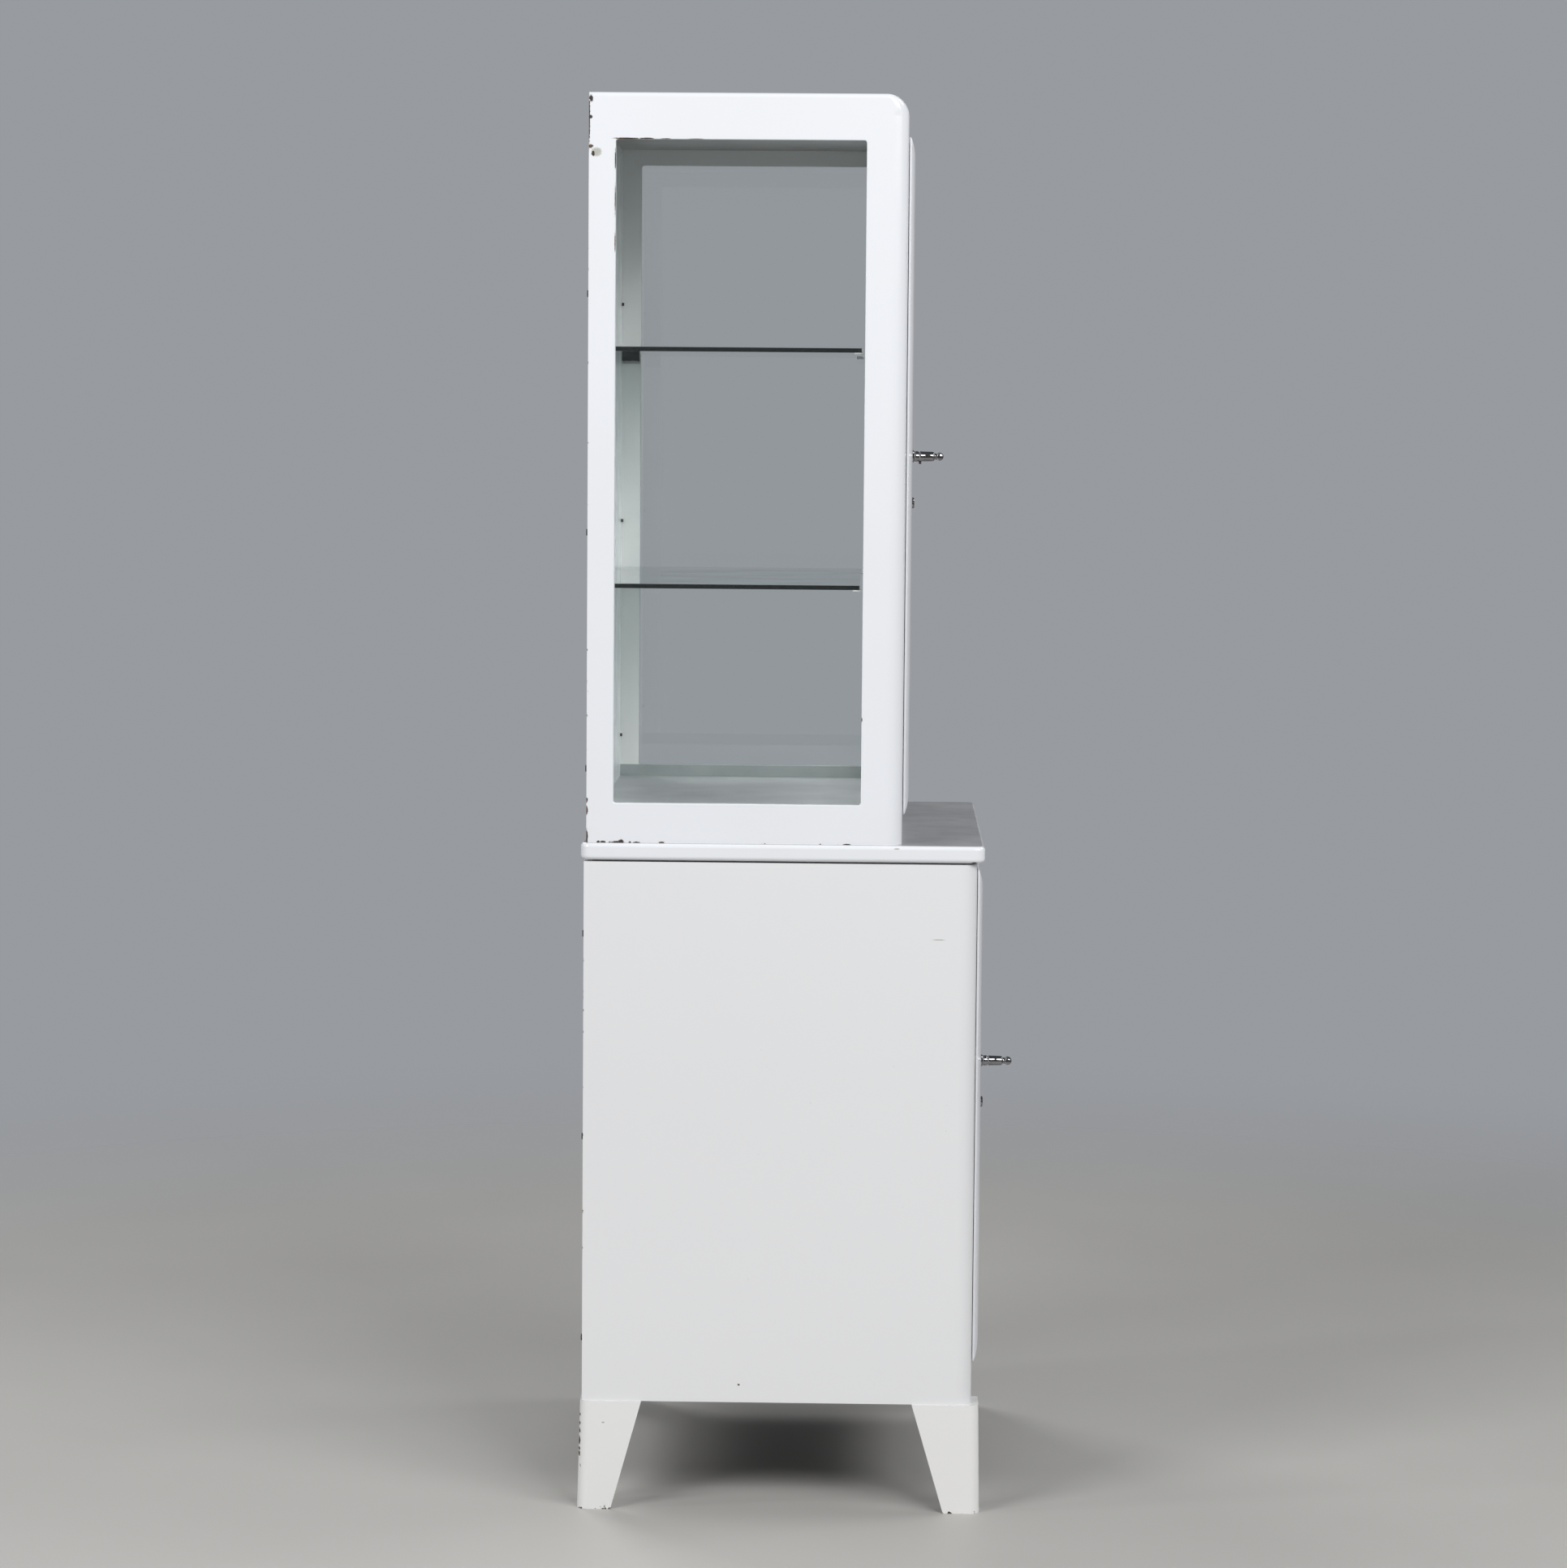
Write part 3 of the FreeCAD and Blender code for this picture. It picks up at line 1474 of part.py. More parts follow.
def strike(name, opening_half, front, handle_z, lock_z):
    """A plate behind the folded edge of the opening, for the latch and the lock to bear on."""
    return box(
        name,
        (-(opening_half + s.strike_width), -opening_half),
        (front + s.door_return, front + s.door_return + s.strike_thickness),
        (lock_z - s.strike_margin, handle_z + s.strike_margin),
    )


def fittings(prefix, x, handle_z, lock_z, front):
    face = front - s.door_gap - door_rise
    handle(prefix + "_handle", x, handle_z, front)
    rose(prefix + "_handle_rose", x, handle_z, face)
    latch(prefix + "_latch", x, handle_z, front)
    lock_barrel(prefix + "_lock_barrel", x, lock_z, front)
    lock_rotor(prefix + "_lock_rotor", x, lock_z, front)


fittings("upper", upper_axis_x, upper_handle_z, upper_lock_z, case_front)
fittings("lower", lower_axis_x, lower_handle_z, lower_lock_z, base_front)
keep(group(
    "strike_plates",
    strike("upper_strike", upper_opening_half, case_front, upper_handle_z, upper_lock_z),
    strike("lower_strike", lower_opening_half, base_front, lower_handle_z, lower_lock_z),
))


def buffer(name, x, y, z):
    """A rubber plug with a low head, in a hole of the front sheet."""
    profile = [
        (ZERO, ZERO),
        (s.buffer_stem_radius, ZERO),
        (s.buffer_stem_radius, s.buffer_stem_length),
        (s.buffer_radius, s.buffer_stem_length),
        (s.buffer_radius, s.buffer_stem_length + s.buffer_height),
        (ZERO, s.buffer_stem_length + s.buffer_height),
    ]
    return place(turned(name, profile, OUTWARD), x, y + s.buffer_stem_length, z)


upper_buffers = [
    buffer(f"upper_buffer_{step}", upper_buffer_x, case_front, z)
    for step, z in enumerate(buffer_upper_z)
]
lower_buffers = [
    buffer(f"lower_buffer_{step}", lower_buffer_x, base_front, z)
    for step, z in enumerate(buffer_lower_z)
]
keep(group("door_buffers", *upper_buffers, *lower_buffers))

doc.recompute()

# Every object must be sound before anything is written
for thing in doc.Objects:
    if "Invalid" in thing.State or "Error" in thing.State:
        raise RuntimeError(f"{thing.Name} failed: {thing.State}")
for node in nodes:
    if node.Shape.isNull() or not node.Shape.isValid():
        raise RuntimeError(f"{node.Name} has no sound shape")

os.makedirs("parts", exist_ok=True)
for node in nodes:
    node.Label = node.Name
    node.Shape.exportStep(f"parts/{node.Label}.step")
print(len(nodes), "sub-parts written")
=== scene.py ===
# The looks of a medical cabinet: a glazed enamelled case set back on a closed enamelled base.
# Metres, +Z up, the doors face -Y, the hinges are on the +X side. The pieces' places come from model.glb.
import math

import bmesh
import bpy
from mathutils import Matrix, Vector, noise


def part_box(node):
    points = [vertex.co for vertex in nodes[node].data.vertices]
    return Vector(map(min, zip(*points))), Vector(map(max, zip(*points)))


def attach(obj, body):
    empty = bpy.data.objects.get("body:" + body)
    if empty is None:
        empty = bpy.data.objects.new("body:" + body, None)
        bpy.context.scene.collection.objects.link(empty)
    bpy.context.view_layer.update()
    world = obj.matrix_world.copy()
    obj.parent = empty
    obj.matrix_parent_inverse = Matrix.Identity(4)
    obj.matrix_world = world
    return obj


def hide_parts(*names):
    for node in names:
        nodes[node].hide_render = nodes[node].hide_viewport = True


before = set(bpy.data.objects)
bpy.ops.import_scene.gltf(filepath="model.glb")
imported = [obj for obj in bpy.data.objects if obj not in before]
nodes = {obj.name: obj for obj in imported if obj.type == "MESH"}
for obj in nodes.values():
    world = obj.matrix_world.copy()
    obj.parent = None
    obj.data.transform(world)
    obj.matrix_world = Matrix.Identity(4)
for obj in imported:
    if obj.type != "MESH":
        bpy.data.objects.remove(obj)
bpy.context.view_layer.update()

MM = 0.001


class Wire:
    """An output of a shader node. A sum on it adds Math nodes."""

    def __init__(self, finish, socket):
        self.finish = finish
        self.socket = socket

    def math(self, operation, *others):
        values = dict(enumerate((self, *others)))
        return self.finish.node("ShaderNodeMath", {"operation": operation}, values)

    def swapped(self, operation, other):
        return self.finish.node("ShaderNodeMath", {"operation": operation}, {0: other, 1: self})

    def __add__(self, other):
        return self.math("ADD", other)

    __radd__ = __add__

    def __mul__(self, other):
        return self.math("MULTIPLY", other)

    __rmul__ = __mul__

    def __sub__(self, other):
        return self.math("SUBTRACT", other)

    def __rsub__(self, other):
        return self.swapped("SUBTRACT", other)

    def __truediv__(self, other):
        return self.math("DIVIDE", other)

    def __pow__(self, other):
        return self.math("POWER", other)

    def __abs__(self):
        return self.math("ABSOLUTE")

    def least(self, other):
        return self.math("MINIMUM", other)

    def most(self, other):
        return self.math("MAXIMUM", other)

    def step(self, low, high):
        """0 below low, 1 above high, and a soft rise between them."""
        settings = {"interpolation_type": "SMOOTHSTEP"}
        return self.finish.node("ShaderNodeMapRange", settings, {0: self, 1: low, 2: high})


NOISE_ROUGHNESS = 0.55


class Finish:
    """A material, with one way to make each of its nodes."""

    def __init__(self, name):
        self.material = bpy.data.materials.new(name)
        self.material.use_nodes = True
        self.tree = self.material.node_tree
        self.tree.nodes.clear()
        self.place = self.node("ShaderNodeTexCoord", {}, {}, "Object")
        self.x, self.y, self.z = (
            self.node("ShaderNodeSeparateXYZ", {}, {0: self.place}, axis) for axis in range(3)
        )

    def node(self, kind, settings, inputs, output=0):
        """Makes a node: its settings first, then the values or links of its sockets."""
        made = self.tree.nodes.new(kind)
        for key, value in settings.items():
            setattr(made, key, value)
        for key, value in inputs.items():
            if isinstance(value, Wire):
                self.tree.links.new(value.socket, made.inputs[key])
            elif hasattr(value, "__len__") and len(value) == 3 and len(made.inputs[key].default_value) == 4:
                made.inputs[key].default_value = (*value, 1)
            else:
                made.inputs[key].default_value = value
        return Wire(self, made.outputs[output])

    def noise(self, size, detail=2.0, stretch=(1, 1, 1), shift=(0, 0, 0)):
        """Cloudy noise whose lumps are about size across, in metres."""
        moved = self.node(
            "ShaderNodeMapping", {}, {"Vector": self.place, "Location": shift, "Scale": stretch}
        )
        inputs = {"Vector": moved, "Scale": 1 / size, "Detail": detail, "Roughness": NOISE_ROUGHNESS}
        return self.node("ShaderNodeTexNoise", {}, inputs)

    def mixed(self, share, one, other):
        """The colour one where share is 0 and other where it is 1."""
        inputs = {0: share, 6: one, 7: other}
        return self.node("ShaderNodeMix", {"data_type": "RGBA"}, inputs, 2)

    def bump(self, height):
        """A normal from a height in metres."""
        return self.node("ShaderNodeBump", {}, {"Height": height, "Strength": 1.0, "Distance": 1.0})

    def principled(self, inputs):
        return self.node("ShaderNodeBsdfPrincipled", {}, inputs)

    def done(self, surface, volume=None):
        end = self.tree.nodes.new("ShaderNodeOutputMaterial")
        self.tree.links.new(surface.socket, end.inputs["Surface"])
        if volume:
            self.tree.links.new(volume.socket, end.inputs["Volume"])
        return self.material


# Enamel, chipped along the edges that knocks reach

ENAMEL_WHITE = (0.800, 0.815, 0.850)
ENAMEL_AGED = (0.775, 0.780, 0.785)
BASE_WHITE = (0.770, 0.773, 0.782)
FOOT_WHITE = (0.800, 0.795, 0.785)
# Painted shade: the inner enamel is a darker copy of the outer white, for the dim inside of the case and
# base
INNER_SHADED_WHITE = (0.66, 0.655, 0.645)
# Painted shade: the case's ceiling is painted dark grey for the unlit top inside
CEILING_SHADE_GREY = (0.27, 0.255, 0.235)
# Painted shade: the case's floor pan is painted dark grey for the dim inside
PAN_SHADE_GREY = (0.25, 0.255, 0.26)
# Painted shade: the strips are painted grey-green at the foot of the side panes, from the case's floor to
# just above the glass's lower edge
SILL_SHADE_GREY = (0.26, 0.285, 0.28)
# Painted shade: the base floor's underside is painted near black so the space under the cabinet stays dark
UNDERSIDE_SHADE = (0.045, 0.043, 0.04)
# Painted shade: the shelf brackets are painted dull grey-green so they stay as dim as the shaded inside
BRACKET_SHADE_GREY = (0.27, 0.285, 0.28)
# Painted reflection: the worktop's top is painted grey for the grey surround it reflects
TOP_REFLECTION_GREY = (0.40, 0.405, 0.415)
STEEL_DARK = (0.030, 0.028, 0.027)
RUST = (0.12, 0.055, 0.026)
GROUND_COAT = (0.42, 0.39, 0.31)
GREASE = (0.36, 0.36, 0.29)
ENAMEL_IOR = 1.52
OUTER_GLOSS = 0.15
# How uneven the surface is: the enamel's peel, the sheet's slow waves, and a chip's depth
ORANGE_PEEL = 0.008 * MM
WAVE = 0.30 * MM
FLAT_WAVE = 0.06 * MM
CHIP_DEPTH = 0.25 * MM
# Sizes of the enamel's patterns, in metres
TONE_SIZE = 0.35
PEEL_SIZE = 0.0026
BLOTCH_SIZE = 0.011
RAGGED_SIZE = 0.0025
RUST_SIZE = 0.006
SPECK_SIZE = 0.0021
LAYER_CLOUD_SIZE = 0.06
DULL_SIZE = 0.05
WAVE_SIZE = 0.16
# How the large and the fine noise share a chip's outline, and the widths of its edge and pale rim in it
BLOTCH_SHARE, RAGGED_SHARE = 0.7, 0.3
CHIP_EDGE = 0.012
RIM_WIDTH = 0.03
# A single chip's outline, in its own half sizes: how ragged, then bare steel, its edge, and its rim
SPOT_RAGGED = 2.4
SPOT_BARE, SPOT_EDGE, SPOT_RIM = 2.0, 2.3, 3.2
STAIN_RAGGED = 1.6
STAIN_INSIDE, STAIN_OUTSIDE = 1.2, 2.4
# How much of each colour shows where its mask is full
AGED_SHARE = 0.5
SPECK_SHARE = 0.55
STAIN_SHARE = 0.75
RIM_SHARE = 0.6
# How softly a layer of another colour begins and ends, and how cloudy it is
LAYER_EDGE = 0.6 * MM
LAYER_CLOUD, LAYER_FULL = 0.12, 0.88
# How much duller than the enamel its cloudy places and its chips are
DULL_CLOUD = 0.08
DULL_CHIP = 0.5
# Single chips, the painted shadow lines and stains lie on the near side's outer faces only, further out
# than this
SPOT_DEPTH = -264.5 * MM
FAR_AWAY = 100


def edge_distance(finish, lines):
    """How far a point is from the nearest of the lines. A line is a place on two axes, such as
    {"x": 0.27, "y": 0.24}, and an x counts on both sides of the middle. One axis alone is a plane."""
    nearest = None
    for line in lines:
        far = None
        for axis, place in line.items():
            here = {"x": abs(finish.x), "y": finish.y, "z": finish.z}[axis]
            away = abs(here - place)
            far = away if far is None else far.most(away)
        nearest = far if nearest is None else nearest.least(far)
    return nearest


def nearest_spot(finish, spots):
    """How far a point is from the nearest spot, in the spot's own half sizes: 1 is on its rim. A spot
    is a place across and up on the near side, and its half width and half height."""
    nearest = None
    for across, up, half_width, half_height in spots:
        away = ((finish.y - across) / half_width) ** 2 + ((finish.z - up) / half_height) ** 2
        nearest = away if nearest is None else nearest.least(away)
    return nearest + finish.x.step(SPOT_DEPTH - 1 * MM, SPOT_DEPTH) * FAR_AWAY


def enamel(
    name,
    edges,
    chip_level,
    reach,
    spots=(),
    stains=(),
    white=ENAMEL_WHITE,
    gloss=OUTER_GLOSS,
    layer=None,
    wave=WAVE,
):
    """Glossy fired enamel: a faint orange peel and slow waves of the sheet, and chips to the steel
    near the lines of edges, more of them at a lower chip_level. Spots are single chips, and on the case
    also thin painted shadow lines along the window's edges; stains are dirt; a layer is a span of heights
    painted another colour, used for painted shade and a painted reflection; gloss is the roughness of a
    clean place, and wave is how uneven the sheet is."""
    finish = Finish(name)
    tone = finish.noise(TONE_SIZE, 3)
    fine = finish.noise(PEEL_SIZE, 1)
    blotch = finish.noise(BLOTCH_SIZE, 3)
    ragged = finish.noise(RAGGED_SIZE, 3, shift=(3, 1, 2))
    grain = blotch * BLOTCH_SHARE + ragged * RAGGED_SHARE
    near = grain - edge_distance(finish, edges) / reach
    chip = near.step(chip_level, chip_level + CHIP_EDGE)
    rim = near.step(chip_level - RIM_WIDTH, chip_level) * (1 - chip)
    # On the case the spots also hold thin painted shadow lines along the window's edges, drawn dark like
    # chips
    if spots:
        away = nearest_spot(finish, spots) + ragged * SPOT_RAGGED
        spot = 1 - away.step(SPOT_BARE, SPOT_EDGE)
        rim = rim.most((1 - away.step(SPOT_EDGE, SPOT_RIM)) * (1 - spot))
        chip = chip.most(spot)
    rust = finish.noise(RUST_SIZE, 3, shift=(7, 5, 1)).step(0.45, 0.62)
    colour = finish.mixed(tone.step(0.35, 0.75) * AGED_SHARE, white, ENAMEL_AGED)
    if layer:
        low, high, layer_colour = layer
        inside = finish.z.step(low, low + LAYER_EDGE) * (1 - finish.z.step(high, high + LAYER_EDGE))
        cloudy = finish.noise(LAYER_CLOUD_SIZE, 4, shift=(2, 6, 3)).step(0.30, 0.70)
        colour = finish.mixed(inside * (cloudy * LAYER_CLOUD + LAYER_FULL), colour, layer_colour)
    specks = finish.noise(SPECK_SIZE, 1, shift=(9, 4, 7)).step(0.80, 0.83)
    colour = finish.mixed(specks * SPECK_SHARE, colour, GROUND_COAT)
    if stains:
        outside = nearest_spot(finish, stains) + ragged * STAIN_RAGGED
        dirt = 1 - outside.step(STAIN_INSIDE, STAIN_OUTSIDE)
        colour = finish.mixed(dirt * STAIN_SHARE, colour, GREASE)
    colour = finish.mixed(rim * RIM_SHARE, colour, GROUND_COAT)
    bare = finish.mixed(rust, STEEL_DARK, RUST)
    colour = finish.mixed(chip, colour, bare)
    roughness = finish.noise(DULL_SIZE, 4).step(0.3, 0.8) * DULL_CLOUD + chip * DULL_CHIP + gloss
    waves = finish.noise(WAVE_SIZE, 1)
    height = fine * ORANGE_PEEL + waves * wave - chip * CHIP_DEPTH
    inputs = {
        "Base Color": colour,
        "Roughness": roughness,
        "IOR": ENAMEL_IOR,
        "Normal": finish.bump(height),
    }
    return finish.done(finish.principled(inputs))


# Glass

GLASS_IOR = 1.5
GLASS_WAVE = 0.12 * MM
GLASS_WAVE_SIZE = 0.12
GLASS_WAVE_STRETCH = (1, 1, 0.35)
SMEAR_SIZE = 0.05
SMEAR_DULLNESS = 0.05
PANE_TINT = (0.97, 0.99, 0.985)
PANE_LAMP_TINT = (0.93, 0.94, 0.94)
SHELF_TINT = (0.97, 0.99, 0.98)
SHELF_LAMP_TINT = (0.32, 0.34, 0.33)
# The colour that thick glass takes on, and how fast, per metre
SHELF_LOSS = ((0.40, 0.70, 0.60), 34.0)


def glass(name, tint, lamp_tint, thickness_loss=None):
    """Clear glass with faint drawn waves. Lamps shine straight through it."""
    finish = Finish(name)
    waves = finish.noise(GLASS_WAVE_SIZE, 1, stretch=GLASS_WAVE_STRETCH)
    smear = finish.noise(SMEAR_SIZE, 5, shift=(2, 8, 4)).step(0.52, 0.80)
    inputs = {
        "Base Color": tint,
        "Roughness": smear * SMEAR_DULLNESS,
        "IOR": GLASS_IOR,
        "Transmission Weight": 1.0,
        "Normal": finish.bump(waves * GLASS_WAVE),
    }
    solid = finish.principled(inputs)
    clear = finish.node("ShaderNodeBsdfTransparent", {}, {"Color": lamp_tint})
    shadow = finish.node("ShaderNodeLightPath", {}, {}, "Is Shadow Ray")
    both = finish.node("ShaderNodeMixShader", {}, {0: shadow, 1: solid, 2: clear})
    if thickness_loss is None:
        return finish.done(both)
    colour, density = thickness_loss
    loss = finish.node("ShaderNodeVolumeAbsorption", {}, {"Color": colour, "Density": density})
    return finish.done(both, loss)


# Metals and rubber

# Painted dark reflection: clean chrome is dimmed far below real chrome, standing in for the dark room it
# would mirror
CHROME_DIMMED_CLEAR = (0.34, 0.34, 0.35)
CHROME_HAZY = (0.24, 0.225, 0.21)
CHROME_PIT = (0.08, 0.06, 0.05)
HAZE_SIZE = 0.012
PIT_SIZE = 0.0011
HAIR_SIZE = 0.0009
HAIR_STRETCH = (0.08, 1, 1)
HAIR_DEPTH = 0.0015 * MM
PIT_DEPTH = 0.04 * MM
ZINC_DULL = (0.42, 0.43, 0.44)
ZINC_CLEAN = (0.58, 0.58, 0.57)
DARK_STEEL_DULL = (0.05, 0.048, 0.045)
DARK_STEEL_CLEAN = (0.10, 0.095, 0.09)
ZINC_CLOUD_SIZE = 0.006
ZINC_SPOT_SIZE = 0.002
ZINC_RELIEF = 0.03 * MM
RUBBER_BLACK = (0.009, 0.009, 0.010)
RUBBER_RUBBED = (0.022, 0.021, 0.020)
RUB_SIZE = 0.004
RUBBER_GRAIN_SIZE = 0.0008
RUBBER_GRAIN = 0.02 * MM
RUBBER_SHINE = 0.25


def chrome(name):
    """Old polished chrome with pits and fine scratches; its clear places are dimmed far below real chrome,
    a painted dark reflection.
    """
    finish = Finish(name)
    haze = finish.noise(HAZE_SIZE, 4).step(0.4, 0.8)
    pits = finish.noise(PIT_SIZE, 2, shift=(4, 2, 6)).step(0.66, 0.74)
    hairs = finish.noise(HAIR_SIZE, 2, stretch=HAIR_STRETCH)
    colour = finish.mixed(haze, CHROME_DIMMED_CLEAR, CHROME_HAZY)
    colour = finish.mixed(pits, colour, CHROME_PIT)
    height = hairs * HAIR_DEPTH - pits * PIT_DEPTH
    inputs = {
        "Base Color": colour,
        "Metallic": 1.0,
        "Roughness": haze * 0.08 + pits * 0.4 + 0.05,
        "Normal": finish.bump(height),
    }
    return finish.done(finish.principled(inputs))


def zinc(name, dull=ZINC_DULL, clean=ZINC_CLEAN):
    """Zinc-plated steel: dull, cloudy, with a few darker spots."""
    finish = Finish(name)
    cloud = finish.noise(ZINC_CLOUD_SIZE, 4)
    spots = finish.noise(ZINC_SPOT_SIZE, 2, shift=(5, 3, 2)).step(0.62, 0.72)
    colour = finish.mixed(cloud.step(0.3, 0.7), dull, clean)
    colour = finish.mixed(spots * 0.7, colour, RUST)
    inputs = {
        "Base Color": colour,
        "Metallic": 1.0 - spots * 0.6,
        "Roughness": cloud * 0.25 + 0.28,
        "Normal": finish.bump(cloud * ZINC_RELIEF),
    }
    return finish.done(finish.principled(inputs))


def rubber(name):
    """Matt black rubber, greyer where it is rubbed."""
    finish = Finish(name)
    rub = finish.noise(RUB_SIZE, 4).step(0.45, 0.75)
    inputs = {
        "Base Color": finish.mixed(rub, RUBBER_BLACK, RUBBER_RUBBED),
        "Roughness": rub * 0.15 + 0.75,
        "Specular IOR Level": RUBBER_SHINE,
        "Normal": finish.bump(finish.noise(RUBBER_GRAIN_SIZE, 2) * RUBBER_GRAIN),
    }
    return finish.done(finish.principled(inputs))


# Which finish each piece has

# Chips of the near side, and thin painted shadow lines along its window's top and rear edges,
# as places across and up with half widths and half heights
CASE_CHIPS_AND_SHADOW_LINES = [
    (0.2384, 1.6124, 0.0019, 0.0037),
    (0.2412, 1.5880, 0.0016, 0.0290),
    # Painted shadow: these seven thin marks lie along the window's top and rear edges, for the shadow in
    # the gap between the fold and the pane; they are drawn like chips
    (0.1985, 1.5683, 0.0130, 0.0008),
    (0.1760, 1.5684, 0.0070, 0.0007),
    (0.1540, 1.5682, 0.0050, 0.0004),
    (0.1200, 1.5682, 0.0080, 0.0003),
    (0.2110, 1.5450, 0.0006, 0.0100),
    (0.2110, 1.5000, 0.0005, 0.0160),
    (0.2110, 1.4520, 0.0005, 0.0100),
    (-0.0716, 0.9158, 0.0011, 0.0023),
    (0.2390, 1.5920, 0.0019, 0.0019),
    (0.2389, 1.5594, 0.0028, 0.0019),
    (0.2360, 1.5512, 0.0019, 0.0028),
    (0.2408, 0.8214, 0.0016, 0.0028),
    (0.2408, 0.8093, 0.0016, 0.0047),
    (0.2406, 0.7795, 0.0016, 0.0074),
    (0.2272, 0.7735, 0.0019, 0.0014),
    (0.2217, 0.7735, 0.0028, 0.0014),
    (0.2050, 0.7733, 0.0066, 0.0015),
    (0.2013, 0.7742, 0.0030, 0.0024),
    (0.1911, 0.7732, 0.0014, 0.0014),
    (0.1837, 0.7730, 0.0037, 0.0012),
    (0.1550, 0.7732, 0.0028, 0.0015),
    (-0.0560, 0.7732, 0.0040, 0.0009),
]
CASE_STAINS = [(0.2323, 1.5530, 0.0056, 0.0047)]
TOP_SPOTS = [(-0.2019, 0.7545, 0.0030, 0.0007)]
TOP_STAINS = [(-0.1132, 0.7696, 0.0030, 0.0009)]
BASE_SPOTS = [(0.0626, 0.1470, 0.0011, 0.0011)]
BASE_STAINS = [(-0.1624, 0.6655, 0.0074, 0.0006)]
FOOT_SPOTS = [
    (0.2462, 0.1096, 0.0014, 0.0019),
    (0.2462, 0.0991, 0.0014, 0.0019),
    (0.2462, 0.0905, 0.0012, 0.0028),
    (0.2462, 0.0791, 0.0012, 0.0047),
    (0.2462, 0.0695, 0.0011, 0.0019),
    (0.2462, 0.0638, 0.0011, 0.0028),
]
FOOT_STAINS = [(0.2185, 0.1015, 0.0018, 0.0009)]
# How readily each edge chips (less at a higher level), and how far from it the chips reach, in metres
OUTER_CHIPS = (0.62, 0.030)
BASE_CHIPS = (0.62, 0.020)
TOP_CHIPS = (0.70, 0.020)
FOOT_CHIPS = (0.52, 0.030)
INNER_CHIPS = (0.66, 0.020)
# Roughness of the inner sheets
INNER_GLOSS = 0.28
PAN_GLOSS = 0.30
CEILING_GLOSS = 0.35
BRACKET_GLOSS = 0.80
# The painted grey on the worktop's top, a painted reflection of the grey surround; painted shade under the
# base floor;
# and painted shade in the strips at the foot of the side panes, which reaches past the window behind the
# strips
TOP_SHEET = 0.7 * MM
FLOOR_SHEET = 1.2 * MM
SILL_OVERLAP = 9 * MM

case_low, case_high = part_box("vitrine_left_side")[0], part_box("vitrine_roof")[1]
base_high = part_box("base_right_side")[1]
top_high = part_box("worktop")[1]
foot_low, foot_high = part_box("rear_right_foot")
shelf_low, shelf_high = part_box("base_shelf")
upper_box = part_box("upper_door_frame")
lower_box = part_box("lower_door_skin")

case_edges = [{"x": case_high.x, "y": case_high.y}, {"z": case_low.z}]
case_enamel = enamel("case_enamel", case_edges, *OUTER_CHIPS, CASE_CHIPS_AND_SHADOW_LINES, CASE_STAINS)
roof_enamel = enamel("roof_enamel", case_edges, *OUTER_CHIPS, CASE_CHIPS_AND_SHADOW_LINES, CASE_STAINS, wave=FLAT_WAVE)
base_edges = [{"x": base_high.x, "y": base_high.y}]
base_enamel = enamel("base_enamel", base_edges, *BASE_CHIPS, BASE_SPOTS, BASE_STAINS, BASE_WHITE)
top_edges = [{"x": top_high.x, "z": top_high.z}]
# The worktop's top is painted grey, a painted reflection of the surround
top_reflection_layer = (top_high.z - TOP_SHEET, top_high.z + 1 * MM, TOP_REFLECTION_GREY)
top_enamel = enamel(
    "worktop_enamel", top_edges, *TOP_CHIPS, TOP_SPOTS, TOP_STAINS, layer=top_reflection_layer, wave=FLAT_WAVE
)
foot_edges = [{"z": foot_low.z}, {"x": foot_high.x, "y": foot_high.y}]
foot_enamel = enamel("foot_enamel", foot_edges, *FOOT_CHIPS, FOOT_SPOTS, FOOT_STAINS, FOOT_WHITE)
door_edges = [{"x": upper_box[1].x, "z": upper_box[0].z}, {"x": lower_box[1].x, "z": lower_box[0].z}]
door_enamel = enamel("door_enamel", door_edges, *OUTER_CHIPS)


def inside_enamel(name, white, gloss, layer=None):
    """The duller enamel of inner sheets, chipped along the front edge of the shelf in the base."""
    edges = [{"z": shelf_high.z, "y": shelf_low.y}]
    return enamel(name, edges, *INNER_CHIPS, white=white, gloss=gloss, layer=layer)


# The base floor is painted near black below its top sheet, painted shade under the cabinet
underside_shade = (-1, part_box("base_floor")[1].z - FLOOR_SHEET, UNDERSIDE_SHADE)
sill_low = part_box("vitrine_floor")[1].z - 1 * MM
# The strips' lower band is painted grey-green, painted shade at the foot of the panes
sill_shade = (sill_low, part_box("left_side_glass")[0].z + SILL_OVERLAP, SILL_SHADE_GREY)
strip_enamel = inside_enamel("strip_enamel", INNER_SHADED_WHITE, INNER_GLOSS, sill_shade)
dark_steel = zinc("dark_steel", DARK_STEEL_DULL, DARK_STEEL_CLEAN)
old_chrome = chrome("old_chrome")
black_rubber = rubber("black_rubber")
SLOT_FINISHES = {
    "pane_glass": glass("pane_glass", PANE_TINT, PANE_LAMP_TINT),
    "shelf_glass": glass("shelf_glass", SHELF_TINT, SHELF_LAMP_TINT, SHELF_LOSS),
    "chrome": old_chrome,
    "zinc_steel": zinc("zinc_plate"),
    "rubber": black_rubber,
    "inner_enamel": inside_enamel("inner_enamel", INNER_SHADED_WHITE, INNER_GLOSS),
}
